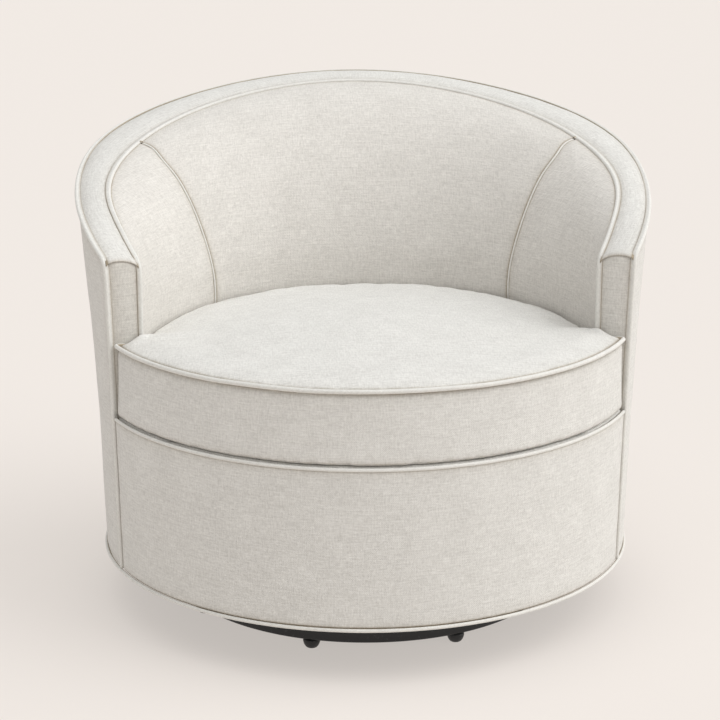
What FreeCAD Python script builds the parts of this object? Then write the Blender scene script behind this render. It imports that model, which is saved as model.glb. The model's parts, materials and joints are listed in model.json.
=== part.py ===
import FreeCAD, Part
import math
import os

import Sketcher
from FreeCAD import Placement, Rotation, Vector

# A swivel barrel chair. Millimetres, +Z up, the sitter faces -Y.
# The seat turns about a vertical line at x = 0, y = axis_y. The floor is z = 0.
# Angles round the chair are measured from straight ahead (-Y) towards +X.

doc = FreeCAD.newDocument("swivel_barrel_chair")

SIZES = [
    ("axis_y", -29.5, "swivel axis behind the middle of the whole outline"),
    # steel swivel base
    ("ring_outer", 288.0, "outer radius of the floor ring"),
    ("ring_width", 25.0, "width of the ring's square tube"),
    ("ring_low", 15.0, "underside of the ring above the floor"),
    ("tube_wall", 1.5, "wall of the ring and arm tubes"),
    ("glide_radius", 13.0, "radius of a floor glide"),
    ("glide_flat", 9.0, "radius of a glide's flat underside"),
    ("glide_circle", 275.5, "radius of the circle that the glides stand on"),
    ("glide_turn", 3.0, "turn of the glide circle from straight ahead, degrees"),
    ("stud_radius", 4.0, "thread radius of the glide studs and plate bolts"),
    ("arm_width", 40.0, "width of the cross arms"),
    ("arm_height", 20.0, "height of the cross arms"),
    ("arm_reach", 285.0, "half length of the cross arms"),
    ("plate_side", 200.0, "side of the square swivel plates"),
    ("plate_thick", 3.0, "thickness of the swivel plates"),
    ("plate_gap", 14.0, "gap between the two swivel plates"),
    ("low_bolt", 80.0, "lower plate bolts from the axis"),
    ("top_bolt", 72.0, "upper plate bolts from the axis, along X and Y"),
    ("race_mid", 58.0, "radius of the ball circle"),
    ("race_half", 8.0, "half width of a race ring"),
    ("race_high", 5.0, "height of a race ring"),
    ("ball_radius", 4.0, "radius of a bearing ball"),
    ("groove_play", 0.05, "running clearance of the ball groove"),
    ("ball_count", 16.0, "balls in the cage"),
    ("cage_thick", 2.0, "thickness of the ball cage"),
    ("king_radius", 6.0, "radius of the centre bolt"),
    ("bush_play", 0.06, "running clearance of the centre bolt in its bush"),
    # hidden frame of the turning part
    ("drum_low", 80.0, "underside of the drum frame"),
    ("ply", 18.0, "thickness of the plywood rings"),
    ("bottom_ring_in", 320.0, "inner radius of the bottom ring"),
    ("frame_radius", 386.0, "outer radius of the plywood rings"),
    ("rail_width", 44.0, "width of a swivel rail"),
    ("rail_height", 38.0, "height of a swivel rail"),
    ("rail_reach", 360.0, "half length of a swivel rail"),
    ("post_radial", 30.0, "drum post, radial size"),
    ("post_wide", 44.0, "drum post, size along the ring"),
    ("post_circle", 352.0, "radius of the circle of drum posts"),
    ("seat_frame_low", 272.0, "underside of the seat frame"),
    ("well_half", 235.0, "half width of the spring opening"),
    ("well_front", -285.0, "front edge of the spring opening"),
    ("well_back", 120.0, "rear edge of the spring opening"),
    ("well_corner", 40.0, "corner radius of the spring opening"),
    ("spring_wire", 1.9, "radius of the seat spring wire"),
    ("spring_half", 25.0, "half width of a seat spring"),
    ("spring_level", 296.0, "height of the seat springs"),
    ("deck_top", 320.4, "top of the deck cloth"),
    # outer shell
    ("skirt_low", 83.4, "lower edge of the outer cloth"),
    ("drum_r_low", 397.5, "outer radius of the cloth at the skirt"),
    ("drum_r_top", 403.0, "outer radius of the cloth at the seat line"),
    ("seat_line", 317.7, "height of the welt at the seat line"),
    ("cloth", 2.0, "thickness of the cloth with its lining"),
    ("batting", 5.2, "thickness of the outer batting"),
    ("board", 3.0, "thickness of the bent boards"),
    ("front_angle", 68.0, "angle of the arm fronts from straight ahead, degrees"),
    ("seam_angle", 115.5, "angle of the seams of the inside back, degrees"),
    ("welt_radius", 3.2, "radius of the rim welts"),
    # inside shell
    ("pad_low", 300.6, "lower end of the inside pads"),
    ("pad_turn", 425.0, "height where the inside pads begin to lean back"),
    # cushion
    ("cushion_low", 320.7, "underside of the cushion"),
    ("cushion_r", 395.6, "front radius of the cushion inside its welt"),
    ("cushion_top", 458.0, "top of the cushion's crown"),
    ("cushion_crown", 1536.0, "radius of the crown"),
    ("cushion_mid", -110.0, "middle of the crown, along Y from the axis"),
    ("cushion_gap", 2.5, "room between the cushion's welt and the inside pads"),
    ("cushion_welt_z", 428.0, "height of the cushion's welt"),
]

sheet = doc.addObject("Spreadsheet::Sheet", "sizes")
for i, (alias, value, note) in enumerate(SIZES):
    sheet.set("A%d" % (i + 1), alias)
    sheet.set("B%d" % (i + 1), str(value))
    sheet.set("C%d" % (i + 1), note)
    sheet.setAlias("B%d" % (i + 1), alias)
doc.recompute()


class Q:
    """A size with its value now and the expression that gives it."""

    def __init__(self, value, text):
        self.v, self.t = float(value), text

    def __add__(self, o):
        o = q(o)
        return Q(self.v + o.v, "(%s + %s)" % (self.t, o.t))

    def __sub__(self, o):
        o = q(o)
        return Q(self.v - o.v, "(%s - %s)" % (self.t, o.t))

    def __mul__(self, o):
        o = q(o)
        return Q(self.v * o.v, "(%s * %s)" % (self.t, o.t))

    def __truediv__(self, o):
        o = q(o)
        return Q(self.v / o.v, "(%s / %s)" % (self.t, o.t))

    def __neg__(self):
        return Q(-self.v, "(0 - %s)" % self.t)


def q(o):
    return o if isinstance(o, Q) else Q(o, repr(float(o)))


def D(alias):
    """The size in the sheet's cell of that name."""
    return Q(sheet.get(alias), "sizes.%s" % alias)


def N(alias):
    return float(sheet.get(alias))


AXIS = Placement(Vector(0, N("axis_y"), 0), Rotation())
parts = []  # every finished sub-part, in order


def done(obj, label, placed=True):
    obj.Label = label
    if placed:
        obj.Placement = AXIS.multiply(obj.Placement)
        obj.setExpression("Placement.Base.y", "sizes.axis_y")
    parts.append(obj)
    return obj


# ---------------------------------------------------------------- sketches


def body(name):
    return doc.addObject("PartDesign::Body", name)


def sketch(b, role="XY_Plane", level=None):
    sk = b.newObject("Sketcher::SketchObject", b.Name + "_sketch")
    support = [f for f in b.Origin.OriginFeatures if f.Role == role][0]
    sk.AttachmentSupport = [(support, "")]
    sk.MapMode = "FlatFace"
    if level is not None:
        sk.AttachmentOffset = Placement(Vector(0, 0, level.v), Rotation())
        sk.setExpression("AttachmentOffset.Base.z", level.t)
    return sk


def tie(sk, kind, args, size):
    i = sk.addConstraint(Sketcher.Constraint(kind, *args, size.v))
    sk.setExpression("Constraints[%d]" % i, size.t)


def rect(sk, x0, x1, y0, y1):
    x0, x1, y0, y1 = q(x0), q(x1), q(y0), q(y1)
    a, b, c, d = x0.v, x1.v, y0.v, y1.v
    g = sk.GeometryCount
    pts = [Vector(a, c, 0), Vector(b, c, 0), Vector(b, d, 0), Vector(a, d, 0)]
    for i in range(4):
        sk.addGeometry(Part.LineSegment(pts[i], pts[(i + 1) % 4]), False)
    for i in range(4):
        sk.addConstraint(Sketcher.Constraint("Coincident", g + i, 2, g + (i + 1) % 4, 1))
    for i, kind in enumerate(("Horizontal", "Vertical", "Horizontal", "Vertical")):
        sk.addConstraint(Sketcher.Constraint(kind, g + i))
    tie(sk, "DistanceX", (-1, 1, g, 1), x0)
    tie(sk, "DistanceY", (-1, 1, g, 1), y0)
    tie(sk, "DistanceX", (-1, 1, g + 1, 2), x1)
    tie(sk, "DistanceY", (-1, 1, g + 1, 2), y1)


def circle(sk, x, y, r):
    x, y, r = q(x), q(y), q(r)
    g = sk.addGeometry(Part.Circle(Vector(x.v, y.v, 0), Vector(0, 0, 1), r.v), False)
    if x.v == 0 and y.v == 0:
        sk.addConstraint(Sketcher.Constraint("Coincident", g, 3, -1, 1))
    else:
        tie(sk, "DistanceX", (-1, 1, g, 3), x)
        tie(sk, "DistanceY", (-1, 1, g, 3), y)
    tie(sk, "Radius", (g,), r)


def hexagon(sk, x, y, flats):
    """A hexagon of the given width over flats, about a point."""
    x, y, flats = q(x), q(y), q(flats)
    r = flats.v / math.sqrt(3)
    g = sk.GeometryCount
    pts = [
        Vector(x.v + r * math.cos(math.radians(60 * i)), y.v + r * math.sin(math.radians(60 * i)), 0)
        for i in range(6)
    ]
    for i in range(6):
        sk.addGeometry(Part.LineSegment(pts[i], pts[(i + 1) % 6]), False)
    for i in range(6):
        sk.addConstraint(Sketcher.Constraint("Coincident", g + i, 2, g + (i + 1) % 6, 1))
    c = sk.addGeometry(Part.Circle(Vector(x.v, y.v, 0), Vector(0, 0, 1), r), True)
    for i in range(6):
        sk.addConstraint(Sketcher.Constraint("PointOnObject", g + i, 1, c))
    for i in range(5):
        sk.addConstraint(Sketcher.Constraint("Equal", g + i, g + i + 1))
    if x.v == 0 and y.v == 0:
        sk.addConstraint(Sketcher.Constraint("Coincident", c, 3, -1, 1))
    else:
        tie(sk, "DistanceX", (-1, 1, c, 3), x)
        tie(sk, "DistanceY", (-1, 1, c, 3), y)
    tie(sk, "Radius", (c,), flats / math.sqrt(3))
    sk.addConstraint(Sketcher.Constraint("Horizontal", g + 1))


def pad(b, sk, length):
    f = b.newObject("PartDesign::Pad", b.Name + "_pad")
    f.Profile = sk
    f.setExpression("Length", q(length).t)
    f.Length = q(length).v
    sk.Visibility = False
    return f


def pocket_all(b, sk):
    """Cut the sketch's outlines through the whole body, both ways."""
    doc.recompute()
    before = b.Shape.Volume
    f = b.newObject("PartDesign::Pocket", b.Name + "_pocket")
    f.Profile = sk
    f.Type = 1
    f.Midplane = True
    doc.recompute()
    assert b.Shape.Volume < before - 1, "%s: the pocket cut nothing" % b.Name
    return f


def revolve(b, sk, angle=360.0, symmetric=False):
    f = b.newObject("PartDesign::Revolution", b.Name + "_turn")
    f.Profile = sk
    f.ReferenceAxis = (sk, ["V_Axis"])
    f.Angle = angle
    f.Midplane = symmetric
    return f


def box(name, x0, x1, y0, y1, z0, z1):
    o = doc.addObject("Part::Box", name)
    for prop, lo, hi in (("Length", x0, x1), ("Width", y0, y1), ("Height", z0, z1)):
        size = q(hi) - q(lo)
        setattr(o, prop, size.v)
        o.setExpression(prop, size.t)
    for ax, lo in (("x", x0), ("y", y0), ("z", z0)):
        o.setExpression("Placement.Base.%s" % ax, q(lo).t)
    return o


def cylinder(name, r, z0, z1, x=0, y=0):
    o = doc.addObject("Part::Cylinder", name)
    o.Radius = q(r).v
    o.setExpression("Radius", q(r).t)
    high = q(z1) - q(z0)
    o.Height = high.v
    o.setExpression("Height", high.t)
    for ax, lo in (("x", x), ("y", y), ("z", z0)):
        o.setExpression("Placement.Base.%s" % ax, q(lo).t)
    return o


def cut(name, base, tool):
    o = doc.addObject("Part::Cut", name)
    o.Base, o.Tool = base, tool
    return o


def fuse(name, items):
    o = doc.addObject("Part::MultiFuse", name)
    o.Shapes = items
    return o


def common(name, a, b):
    o = doc.addObject("Part::Common", name)
    o.Base, o.Tool = a, b
    return o


def copies(name, source, placements):
    """One node that holds the same piece several times, each a solid of its own."""
    doc.recompute()
    solids = []
    for p in placements:
        s = source.Shape.copy()
        s.Placement = p.multiply(s.Placement)
        solids.append(s)
    o = doc.addObject("Part::Feature", name)
    o.Shape = Part.makeCompound(solids)
    return o


def at(x=0.0, y=0.0, z=0.0, turn=0.0):
    return Placement(Vector(x, y, z), Rotation(Vector(0, 0, 1), turn))


# ---------------------------------------------------------------- steel swivel base

ring_in = D("ring_outer") - D("ring_width")
ring_top = D("ring_low") + D("ring_width")
turns = [N("glide_turn") + 22.5 + 45 * i for i in range(8)]

b = body("base_ring_body")
sk = sketch(b, "XZ_Plane")
rect(sk, ring_in, D("ring_outer"), D("ring_low"), ring_top)
w = D("tube_wall")
rect(sk, ring_in + w, D("ring_outer") - w, D("ring_low") + w, ring_top - w)
revolve(b, sk)
sk = sketch(b)
circle(sk, 0, D("glide_circle"), D("stud_radius") + 0.05)
doc.recompute()
solid_before = b.Shape.Volume
hole = b.newObject("PartDesign::Pocket", "stud_hole")
hole.Profile = sk
hole.Type = 0
hole.Length = N("ring_low") + 5.0
hole.Reversed = True
doc.recompute()
if not b.Shape.Volume < solid_before - 1:
    hole.Reversed = False
    doc.recompute()
assert b.Shape.Volume < solid_before - 1
pattern = b.newObject("PartDesign::PolarPattern", "stud_holes")
pattern.Originals = [hole]
pattern.Axis = (sk, ["N_Axis"])
pattern.Angle = 360
pattern.Occurrences = 8
b.Tip = pattern
doc.recompute()
# the first hole is straight behind: the ring is turned so that the holes meet the glides
done(b, "base_ring")
b.Placement = Placement(Vector(0, N("axis_y"), 0), Rotation(Vector(0, 0, 1), turns[0]))


def stud_place(i):
    a = math.radians(90 + turns[0] + 45 * i)
    r = N("glide_circle")
    return at(r * math.cos(a), r * math.sin(a), 0)


outer = box("arm_long_outer", -D("arm_reach"), D("arm_reach"), D("arm_width") / -2, D("arm_width") / 2, ring_top, ring_top + D("arm_height"))
inner = box("arm_long_inner", -D("arm_reach") - 1, D("arm_reach") + 1, D("arm_width") / -2 + w, D("arm_width") / 2 - w, ring_top + w, ring_top + D("arm_height") - w)
tube = cut("arm_long_tube", outer, inner)
plate_low = ring_top + D("arm_height")
drills = [
    cylinder("arm_drill_a", D("stud_radius") + 0.3, ring_top - 1, plate_low + 1, D("low_bolt"), 0),
    cylinder("arm_drill_b", D("stud_radius") + 0.3, ring_top - 1, plate_low + 1, -D("low_bolt"), 0),
    cylinder("arm_drill_c", D("king_radius") + 0.2, ring_top - 1, plate_low + 1),
]
done(cut("cross_arm_long", tube, fuse("arm_long_drills", drills)), "cross_arm_long")

halves = []
for s, tag in ((1, "rear"), (-1, "front")):
    lo, hi = D("arm_width") / 2, D("arm_reach")
    y0, y1 = (lo, hi) if s > 0 else (-hi, -lo)
    outer = box("arm_%s_outer" % tag, D("arm_width") / -2, D("arm_width") / 2, y0, y1, ring_top, plate_low)
    inner = box("arm_%s_inner" % tag, D("arm_width") / -2 + w, D("arm_width") / 2 - w, y0 - 1, y1 + 1, ring_top + w, plate_low - w)
    tube = cut("arm_%s_tube" % tag, outer, inner)
    drill = cylinder("arm_%s_drill" % tag, D("stud_radius") + 0.3, ring_top - 1, plate_low + 1, 0, D("low_bolt") * s)
    halves.append(cut("arm_%s" % tag, tube, drill))
doc.recompute()
o = doc.addObject("Part::Compound", "cross_arm_short")
o.Links = halves
done(o, "cross_arm_short")


def swivel_plate(name, low, centre_r, holes, hole_r):
    b = body(name + "_body")
    sk = sketch(b, "XY_Plane", low)
    half = D("plate_side") / 2
    rect(sk, -half, half, -half, half)
    pad(b, sk, D("plate_thick"))
    sk = sketch(b, "XY_Plane", low)
    circle(sk, 0, 0, centre_r)
    for x, y in holes:
        circle(sk, x, y, hole_r)
    base = pocket_all(b, sk)
    f = b.newObject("PartDesign::Fillet", name + "_corners")
    edges = [
        "Edge%d" % (i + 1)
        for i, e in enumerate(base.Shape.Edges)
        if e.Curve.TypeId == "Part::GeomLine"
        and abs(e.Vertexes[0].X - e.Vertexes[1].X) < 1e-6
        and abs(e.Vertexes[0].Y - e.Vertexes[1].Y) < 1e-6
        and abs(abs(e.Vertexes[0].X) - half.v) < 1e-6
    ]
    f.Base = (base, edges)
    f.Radius = 12
    b.Tip = f
    return done(b, name)


lb, tb = D("low_bolt"), D("top_bolt")
swivel_plate("lower_swivel_plate", plate_low, D("king_radius") + 0.05, [(lb, 0), (-lb, 0), (0, lb), (0, -lb)], D("stud_radius") + 0.3)
gap_low = plate_low + D("plate_thick")
gap_top = gap_low + D("plate_gap")
ball_z = gap_low + D("plate_gap") / 2
swivel_plate("upper_swivel_plate", gap_top, 9.0, [(tb, tb), (-tb, tb), (-tb, -tb), (tb, -tb)], D("stud_radius") + 0.3)


def race(name, z0, z1):
    """A turned ring with a ball groove in the face towards the balls."""
    b = body(name + "_body")
    sk = sketch(b, "XZ_Plane")
    rect(sk, D("race_mid") - D("race_half"), D("race_mid") + D("race_half"), z0, z1)
    revolve(b, sk)
    doc.recompute()
    before = b.Shape.Volume
    sk = sketch(b, "XZ_Plane")
    circle(sk, D("race_mid"), ball_z, D("ball_radius") + D("groove_play"))
    f = b.newObject("PartDesign::Groove", name + "_groove")
    f.Profile = sk
    f.ReferenceAxis = (sk, ["V_Axis"])
    f.Angle = 360
    b.Tip = f
    doc.recompute()
    assert b.Shape.Volume < before - 1
    return done(b, name)


race("lower_race", gap_low, gap_low + D("race_high"))
race("upper_race", gap_top - D("race_high"), gap_top)

# ball cage: a flat ring with a pocket for each ball
b = body("ball_cage_body")
sk = sketch(b, "XY_Plane", ball_z - D("cage_thick") / 2)
circle(sk, 0, 0, D("race_mid") + 6)
circle(sk, 0, 0, D("race_mid") - 6)
pad(b, sk, D("cage_thick"))
doc.recompute()
before = b.Shape.Volume
sk = sketch(b, "XY_Plane", ball_z - D("cage_thick") / 2)
circle(sk, D("race_mid"), 0, D("ball_radius") + 0.08)
f = b.newObject("PartDesign::Pocket", "cage_hole")
f.Profile = sk
f.Type = 1
f.Midplane = True
doc.recompute()
p = b.newObject("PartDesign::PolarPattern", "cage_holes")
p.Originals = [f]
p.Axis = (sk, ["N_Axis"])
p.Angle = 360
p.Occurrences = int(N("ball_count"))
b.Tip = p
doc.recompute()
assert b.Shape.Volume < before - 100
done(b, "ball_cage")

ball = doc.addObject("Part::Sphere", "one_ball")
ball.Radius = N("ball_radius")
ball.setExpression("Radius", "sizes.ball_radius")
ball.setExpression("Placement.Base.z", ball_z.t)
count = int(N("ball_count"))
done(
    copies(
        "balls",
        ball,
        [
            at(N("race_mid") * math.cos(2 * math.pi * i / count), N("race_mid") * math.sin(2 * math.pi * i / count))
            for i in range(count)
        ],
    ),
    "bearing_balls",
)


def bolt(name, r, head_flats, head, z_head, z_end, up=True):
    """A hexagon bolt whose head lies from z_head by head, and whose shank ends at z_end."""
    b = body(name)
    sk = sketch(b, "XY_Plane", q(z_head))
    hexagon(sk, 0, 0, head_flats)
    pad(b, sk, head)
    start = q(z_head) + (head if up else 0)
    sk = sketch(b, "XY_Plane", start if up else q(z_end))
    circle(sk, 0, 0, r)
    pad(b, sk, (q(z_end) - start) if up else (start - q(z_end)))
    doc.recompute()
    return b


def nut(name, r, flats, z0, z1):
    b = body(name)
    sk = sketch(b, "XY_Plane", q(z0))
    hexagon(sk, 0, 0, flats)
    circle(sk, 0, 0, r)
    pad(b, sk, q(z1) - q(z0))
    doc.recompute()
    return b


def washer(name, r0, r1, z0, z1):
    b = body(name)
    sk = sketch(b, "XY_Plane", q(z0))
    circle(sk, 0, 0, r1)
    circle(sk, 0, 0, r0)
    pad(b, sk, q(z1) - q(z0))
    doc.recompute()
    return b


sr = D("stud_radius")
four = [at(N("low_bolt"), 0), at(-N("low_bolt"), 0), at(0, N("low_bolt")), at(0, -N("low_bolt"))]
m = bolt("one_low_bolt", sr, 13, 5.0, gap_low, ring_top - 8, up=False)
done(copies("low_bolts", m, four), "plate_bolts_lower")
m = nut("one_low_nut", sr + 0.02, 13, ring_top - 6.5, ring_top)
done(copies("low_nuts", m, four), "plate_nuts_lower")

kr = D("king_radius")
bush_top = gap_top + D("plate_thick") + 1.0
done(bolt("king_bolt_body", kr, 19, 7.5, ring_top - 7.5, bush_top + 14), "king_bolt")
done(washer("king_washer_body", kr + 0.2, 12.0, bush_top + 0.3, bush_top + 2.3), "king_washer")
done(nut("king_nut_body", kr + 0.02, 19, bush_top + 2.3, bush_top + 12.3), "king_nut")

# nylon bush in the upper plate: it turns with the seat on the centre bolt
b = body("pivot_bush_body")
sk = sketch(b, "XY_Plane", gap_top - 2)
circle(sk, 0, 0, 8.95)
circle(sk, 0, 0, kr + D("bush_play"))
pad(b, sk, D("plate_thick") + 2)
sk = sketch(b, "XY_Plane", gap_top + D("plate_thick"))
circle(sk, 0, 0, 12.0)
circle(sk, 0, 0, kr + D("bush_play"))
pad(b, sk, 1.0)
done(b, "pivot_bush")

# glides: turned feet with a domed edge and a blind bore for the stud
b = body("one_glide")
sk = sketch(b, "XZ_Plane")
gr, gf, gl = N("glide_radius"), N("glide_flat"), N("ring_low")
pts = [(0, 0), (gf, 0), (gr, 4.5), (gr, 9.0), (gr - 2.5, gl), (0, gl)]
g0 = sk.GeometryCount
for i in range(len(pts)):
    a, c = pts[i], pts[(i + 1) % len(pts)]
    sk.addGeometry(Part.LineSegment(Vector(a[0], a[1], 0), Vector(c[0], c[1], 0)), False)
for i in range(len(pts)):
    sk.addConstraint(Sketcher.Constraint("Coincident", g0 + i, 2, g0 + (i + 1) % len(pts), 1))
sk.addConstraint(Sketcher.Constraint("Coincident", g0, 1, -1, 1))
tie(sk, "DistanceX", (-1, 1, g0, 2), D("glide_flat"))
sk.addConstraint(Sketcher.Constraint("Horizontal", g0))
tie(sk, "DistanceX", (-1, 1, g0 + 1, 2), D("glide_radius"))
tie(sk, "DistanceY", (-1, 1, g0 + 1, 2), q(4.5))
sk.addConstraint(Sketcher.Constraint("Vertical", g0 + 2))
tie(sk, "DistanceY", (-1, 1, g0 + 2, 2), q(9.0))
tie(sk, "DistanceX", (-1, 1, g0 + 3, 2), D("glide_radius") - 2.5)
tie(sk, "DistanceY", (-1, 1, g0 + 3, 2), D("ring_low"))
sk.addConstraint(Sketcher.Constraint("Horizontal", g0 + 4))
sk.addConstraint(Sketcher.Constraint("Vertical", g0 + 5))
revolve(b, sk)
doc.recompute()
before = b.Shape.Volume
sk = sketch(b, "XZ_Plane")
rect(sk, 0, sr + 0.05, 5.0, D("ring_low"))
f = b.newObject("PartDesign::Groove", "glide_bore")
f.Profile = sk
f.ReferenceAxis = (sk, ["V_Axis"])
f.Angle = 360
b.Tip = f
doc.recompute()
assert b.Shape.Volume < before - 1
done(copies("glide_set", b, [stud_place(i) for i in range(8)]), "glides")
stud = cylinder("one_stud", sr, 5.2, D("ring_low") + 16)
done(copies("stud_set", stud, [stud_place(i) for i in range(8)]), "glide_studs")

# ---------------------------------------------------------------- hidden frame


def ring_body(name, r0, r1, z0, z1):
    b = body(name + "_body")
    sk = sketch(b, "XY_Plane", q(z0))
    circle(sk, 0, 0, r1)
    circle(sk, 0, 0, r0)
    pad(b, sk, q(z1) - q(z0))
    return done(b, name)


dl, ply = D("drum_low"), D("ply")
ring_body("bottom_ring", D("bottom_ring_in"), D("frame_radius"), dl, dl + ply)
ring_body("dust_cover", 150.0, D("frame_radius") - 1, dl - 1.6, dl - 0.4)

rails = []
for s, tag in ((-1, "front"), (1, "rear")):
    y = D("top_bolt") * s
    half = D("rail_width") / 2
    bar = box("rail_%s_bar" % tag, -D("rail_reach"), D("rail_reach"), y - half, y + half, dl, dl + D("rail_height"))
    notch = cut(
        "rail_%s_notch" % tag,
        cylinder("rail_%s_n1" % tag, D("frame_radius") + 5, dl - 1, dl + ply),
        cylinder("rail_%s_n0" % tag, D("bottom_ring_in") - 0.3, dl - 2, dl + ply + 1),
    )
    tools = [notch]
    for k, x in ((0, D("top_bolt")), (1, -D("top_bolt"))):
        tools.append(cylinder("rail_%s_drill%d" % (tag, k), sr + 0.3, dl - 1, dl + D("rail_height") + 1, x, y))
        tools.append(cylinder("rail_%s_sink%d" % (tag, k), 5.1, dl + D("rail_height") - 10.2, dl + D("rail_height") + 1, x, y))
    rails.append(cut("rail_%s" % tag, bar, fuse("rail_%s_tools" % tag, tools)))
doc.recompute()
o = doc.addObject("Part::Compound", "rail_pair")
o.Links = rails
done(o, "swivel_rails")

corners = [at(x, y) for x in (N("top_bolt"), -N("top_bolt")) for y in (N("top_bolt"), -N("top_bolt"))]
rail_top = dl + D("rail_height")
m = bolt("one_top_bolt", sr, 13, 5.3, gap_top - 5.3, rail_top + 1)
done(copies("top_bolts", m, corners), "plate_bolts_upper")
b = body("one_tee_nut")
sk = sketch(b, "XY_Plane", rail_top - 10)
circle(sk, 0, 0, 5.0)
circle(sk, 0, 0, sr + 0.02)
pad(b, sk, 10.0)
sk = sketch(b, "XY_Plane", rail_top)
circle(sk, 0, 0, 11.0)
circle(sk, 0, 0, sr + 0.02)
pad(b, sk, 1.5)
doc.recompute()
done(copies("tee_nut_set", b, corners), "tee_nuts")

# drum posts: short upright blocks between the two plywood rings
post = box("one_post", D("post_wide") / -2, D("post_wide") / 2, D("post_circle") - D("post_radial") / 2, D("post_circle") + D("post_radial") / 2, dl + ply, D("seat_frame_low"))
post_turns = [20, 65, 118, 160, 200, 242, 295, 340]
done(copies("post_set", post, [at(turn=180 + t) for t in post_turns]), "drum_posts")

# corner blocks glued between the swivel rails and the bottom ring
tri = body("one_block")
sk = sketch(tri, "XY_Plane", dl + ply)
pts = [Vector(322, 94.3, 0), Vector(352, 94.3, 0), Vector(322, 124.3, 0)]
for i in range(3):
    sk.addGeometry(Part.LineSegment(pts[i], pts[(i + 1) % 3]), False)
for i in range(3):
    sk.addConstraint(Sketcher.Constraint("Coincident", i, 2, (i + 1) % 3, 1))
sk.addConstraint(Sketcher.Constraint("Horizontal", 0))
sk.addConstraint(Sketcher.Constraint("Vertical", 2))
tie(sk, "DistanceX", (-1, 1, 0, 1), D("bottom_ring_in") + 2)
tie(sk, "DistanceY", (-1, 1, 0, 1), D("top_bolt") + D("rail_width") / 2 + 0.3)
tie(sk, "DistanceX", (0, 1, 0, 2), q(30))
tie(sk, "DistanceY", (0, 1, 2, 1), q(30))
pad(tri, sk, ply)
doc.recompute()
quarter = tri.Shape.copy()
blocks = [quarter, quarter.mirror(Vector(0, 0, 0), Vector(1, 0, 0))]
blocks += [s.mirror(Vector(0, 0, 0), Vector(0, 1, 0)) for s in list(blocks)]
o = doc.addObject("Part::Feature", "block_set")
o.Shape = Part.makeCompound(blocks)
done(o, "corner_blocks")

# seat frame: a plywood disc with a rounded opening for the springs
b = body("seat_frame_body")
sfl = D("seat_frame_low")
sk = sketch(b, "XY_Plane", sfl)
circle(sk, 0, 0, D("frame_radius"))
pad(b, sk, ply)
sk = sketch(b, "XY_Plane", sfl)
rect(sk, -D("well_half"), D("well_half"), D("well_front"), D("well_back"))
base = pocket_all(b, sk)
f = b.newObject("PartDesign::Fillet", "well_corners")
f.Base = (
    base,
    [
        "Edge%d" % (i + 1)
        for i, e in enumerate(base.Shape.Edges)
        if e.Curve.TypeId == "Part::GeomLine"
        and abs(e.Vertexes[0].X - e.Vertexes[1].X) < 1e-6
        and abs(e.Vertexes[0].Y - e.Vertexes[1].Y) < 1e-6
        and abs(abs(e.Vertexes[0].X) - N("well_half")) < 1e-6
    ],
)
f.Radius = N("well_corner")
f.setExpression("Radius", "sizes.well_corner")
b.Tip = f
done(b, "seat_frame")

# ---------------------------------------------------------------- curves of the shell


def spline(xs, ys, flat_end):
    """Cubic through the points: free at the first, level at the last if flat_end."""
    n = len(xs)
    h = [xs[i + 1] - xs[i] for i in range(n - 1)]
    lo, di, up, rh = [0.0] * n, [1.0] * n, [0.0] * n, [0.0] * n
    for i in range(1, n - 1):
        lo[i], di[i], up[i] = h[i - 1], 2 * (h[i - 1] + h[i]), h[i]
        rh[i] = 6 * ((ys[i + 1] - ys[i]) / h[i] - (ys[i] - ys[i - 1]) / h[i - 1])
    if flat_end:
        lo[-1], di[-1] = h[-1], 2 * h[-1]
        rh[-1] = 6 * (0.0 - (ys[-1] - ys[-2]) / h[-1])
    for i in range(1, n):
        k = lo[i] / di[i - 1]
        di[i] -= k * up[i - 1]
        rh[i] -= k * rh[i - 1]
    m = [0.0] * n
    m[-1] = rh[-1] / di[-1]
    for i in range(n - 2, -1, -1):
        m[i] = (rh[i] - up[i] * m[i + 1]) / di[i]

    def at_x(x):
        i = 0
        while i < n - 2 and x > xs[i + 1]:
            i += 1
        a, c = xs[i], xs[i + 1]
        t, hh = x, c - a
        return (
            m[i] * (c - t) ** 3 / (6 * hh)
            + m[i + 1] * (t - a) ** 3 / (6 * hh)
            + (ys[i] / hh - m[i] * hh / 6) * (c - t)
            + (ys[i + 1] / hh - m[i + 1] * hh / 6) * (t - a)
        )

    return at_x


KNOTS = [68.0, 80.0, 95.0, 115.0, 145.0, 180.0]
rim_ri = spline(KNOTS, [357.3, 365.9, 384.0, 392.5, 392.5, 391.5], True)
rim_zi = spline(KNOTS, [544.0, 578.0, 613.0, 651.0, 695.5, 719.0], True)
rim_ro = spline(KNOTS, [409.6, 417.0, 432.0, 456.5, 461.0, 461.0], True)
rim_zo = spline(KNOTS, [551.5, 580.0, 608.0, 651.0, 700.0, 724.0], True)
seat_rc = spline([68.0, 75.0, 88.0, 101.0, 113.0, 126.0, 140.0, 160.0, 180.0], [357.0, 340.0, 298.0, 268.0, 245.0, 221.0, 201.0, 180.5, 175.0], True)


def fold(phi):
    return 360.0 - phi if phi > 180.0 else phi


def drum_r(z):
    """Outer radius of the cloth on the drum below the seat line."""
    t = (z - N("skirt_low")) / (N("seat_line") - N("skirt_low"))
    return N("drum_r_low") + (N("drum_r_top") - N("drum_r_low")) * min(max(t, 0.0), 1.0)


def shell_r(phi, z):
    """Outer radius of the cloth round the sides and back: it flares above the seat line."""
    phi = fold(phi)
    z0 = N("seat_line") - 15
    top = rim_zo(phi)
    t = min(max((z - z0) / (top - z0), 0.0), 1.0)
    return drum_r(z) + (rim_ro(phi) - N("drum_r_top")) * t ** 1.2


def lean(t):
    return 1.0 - (1.0 - min(t, 1.0) ** 1.8) ** (1 / 1.8)


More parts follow.
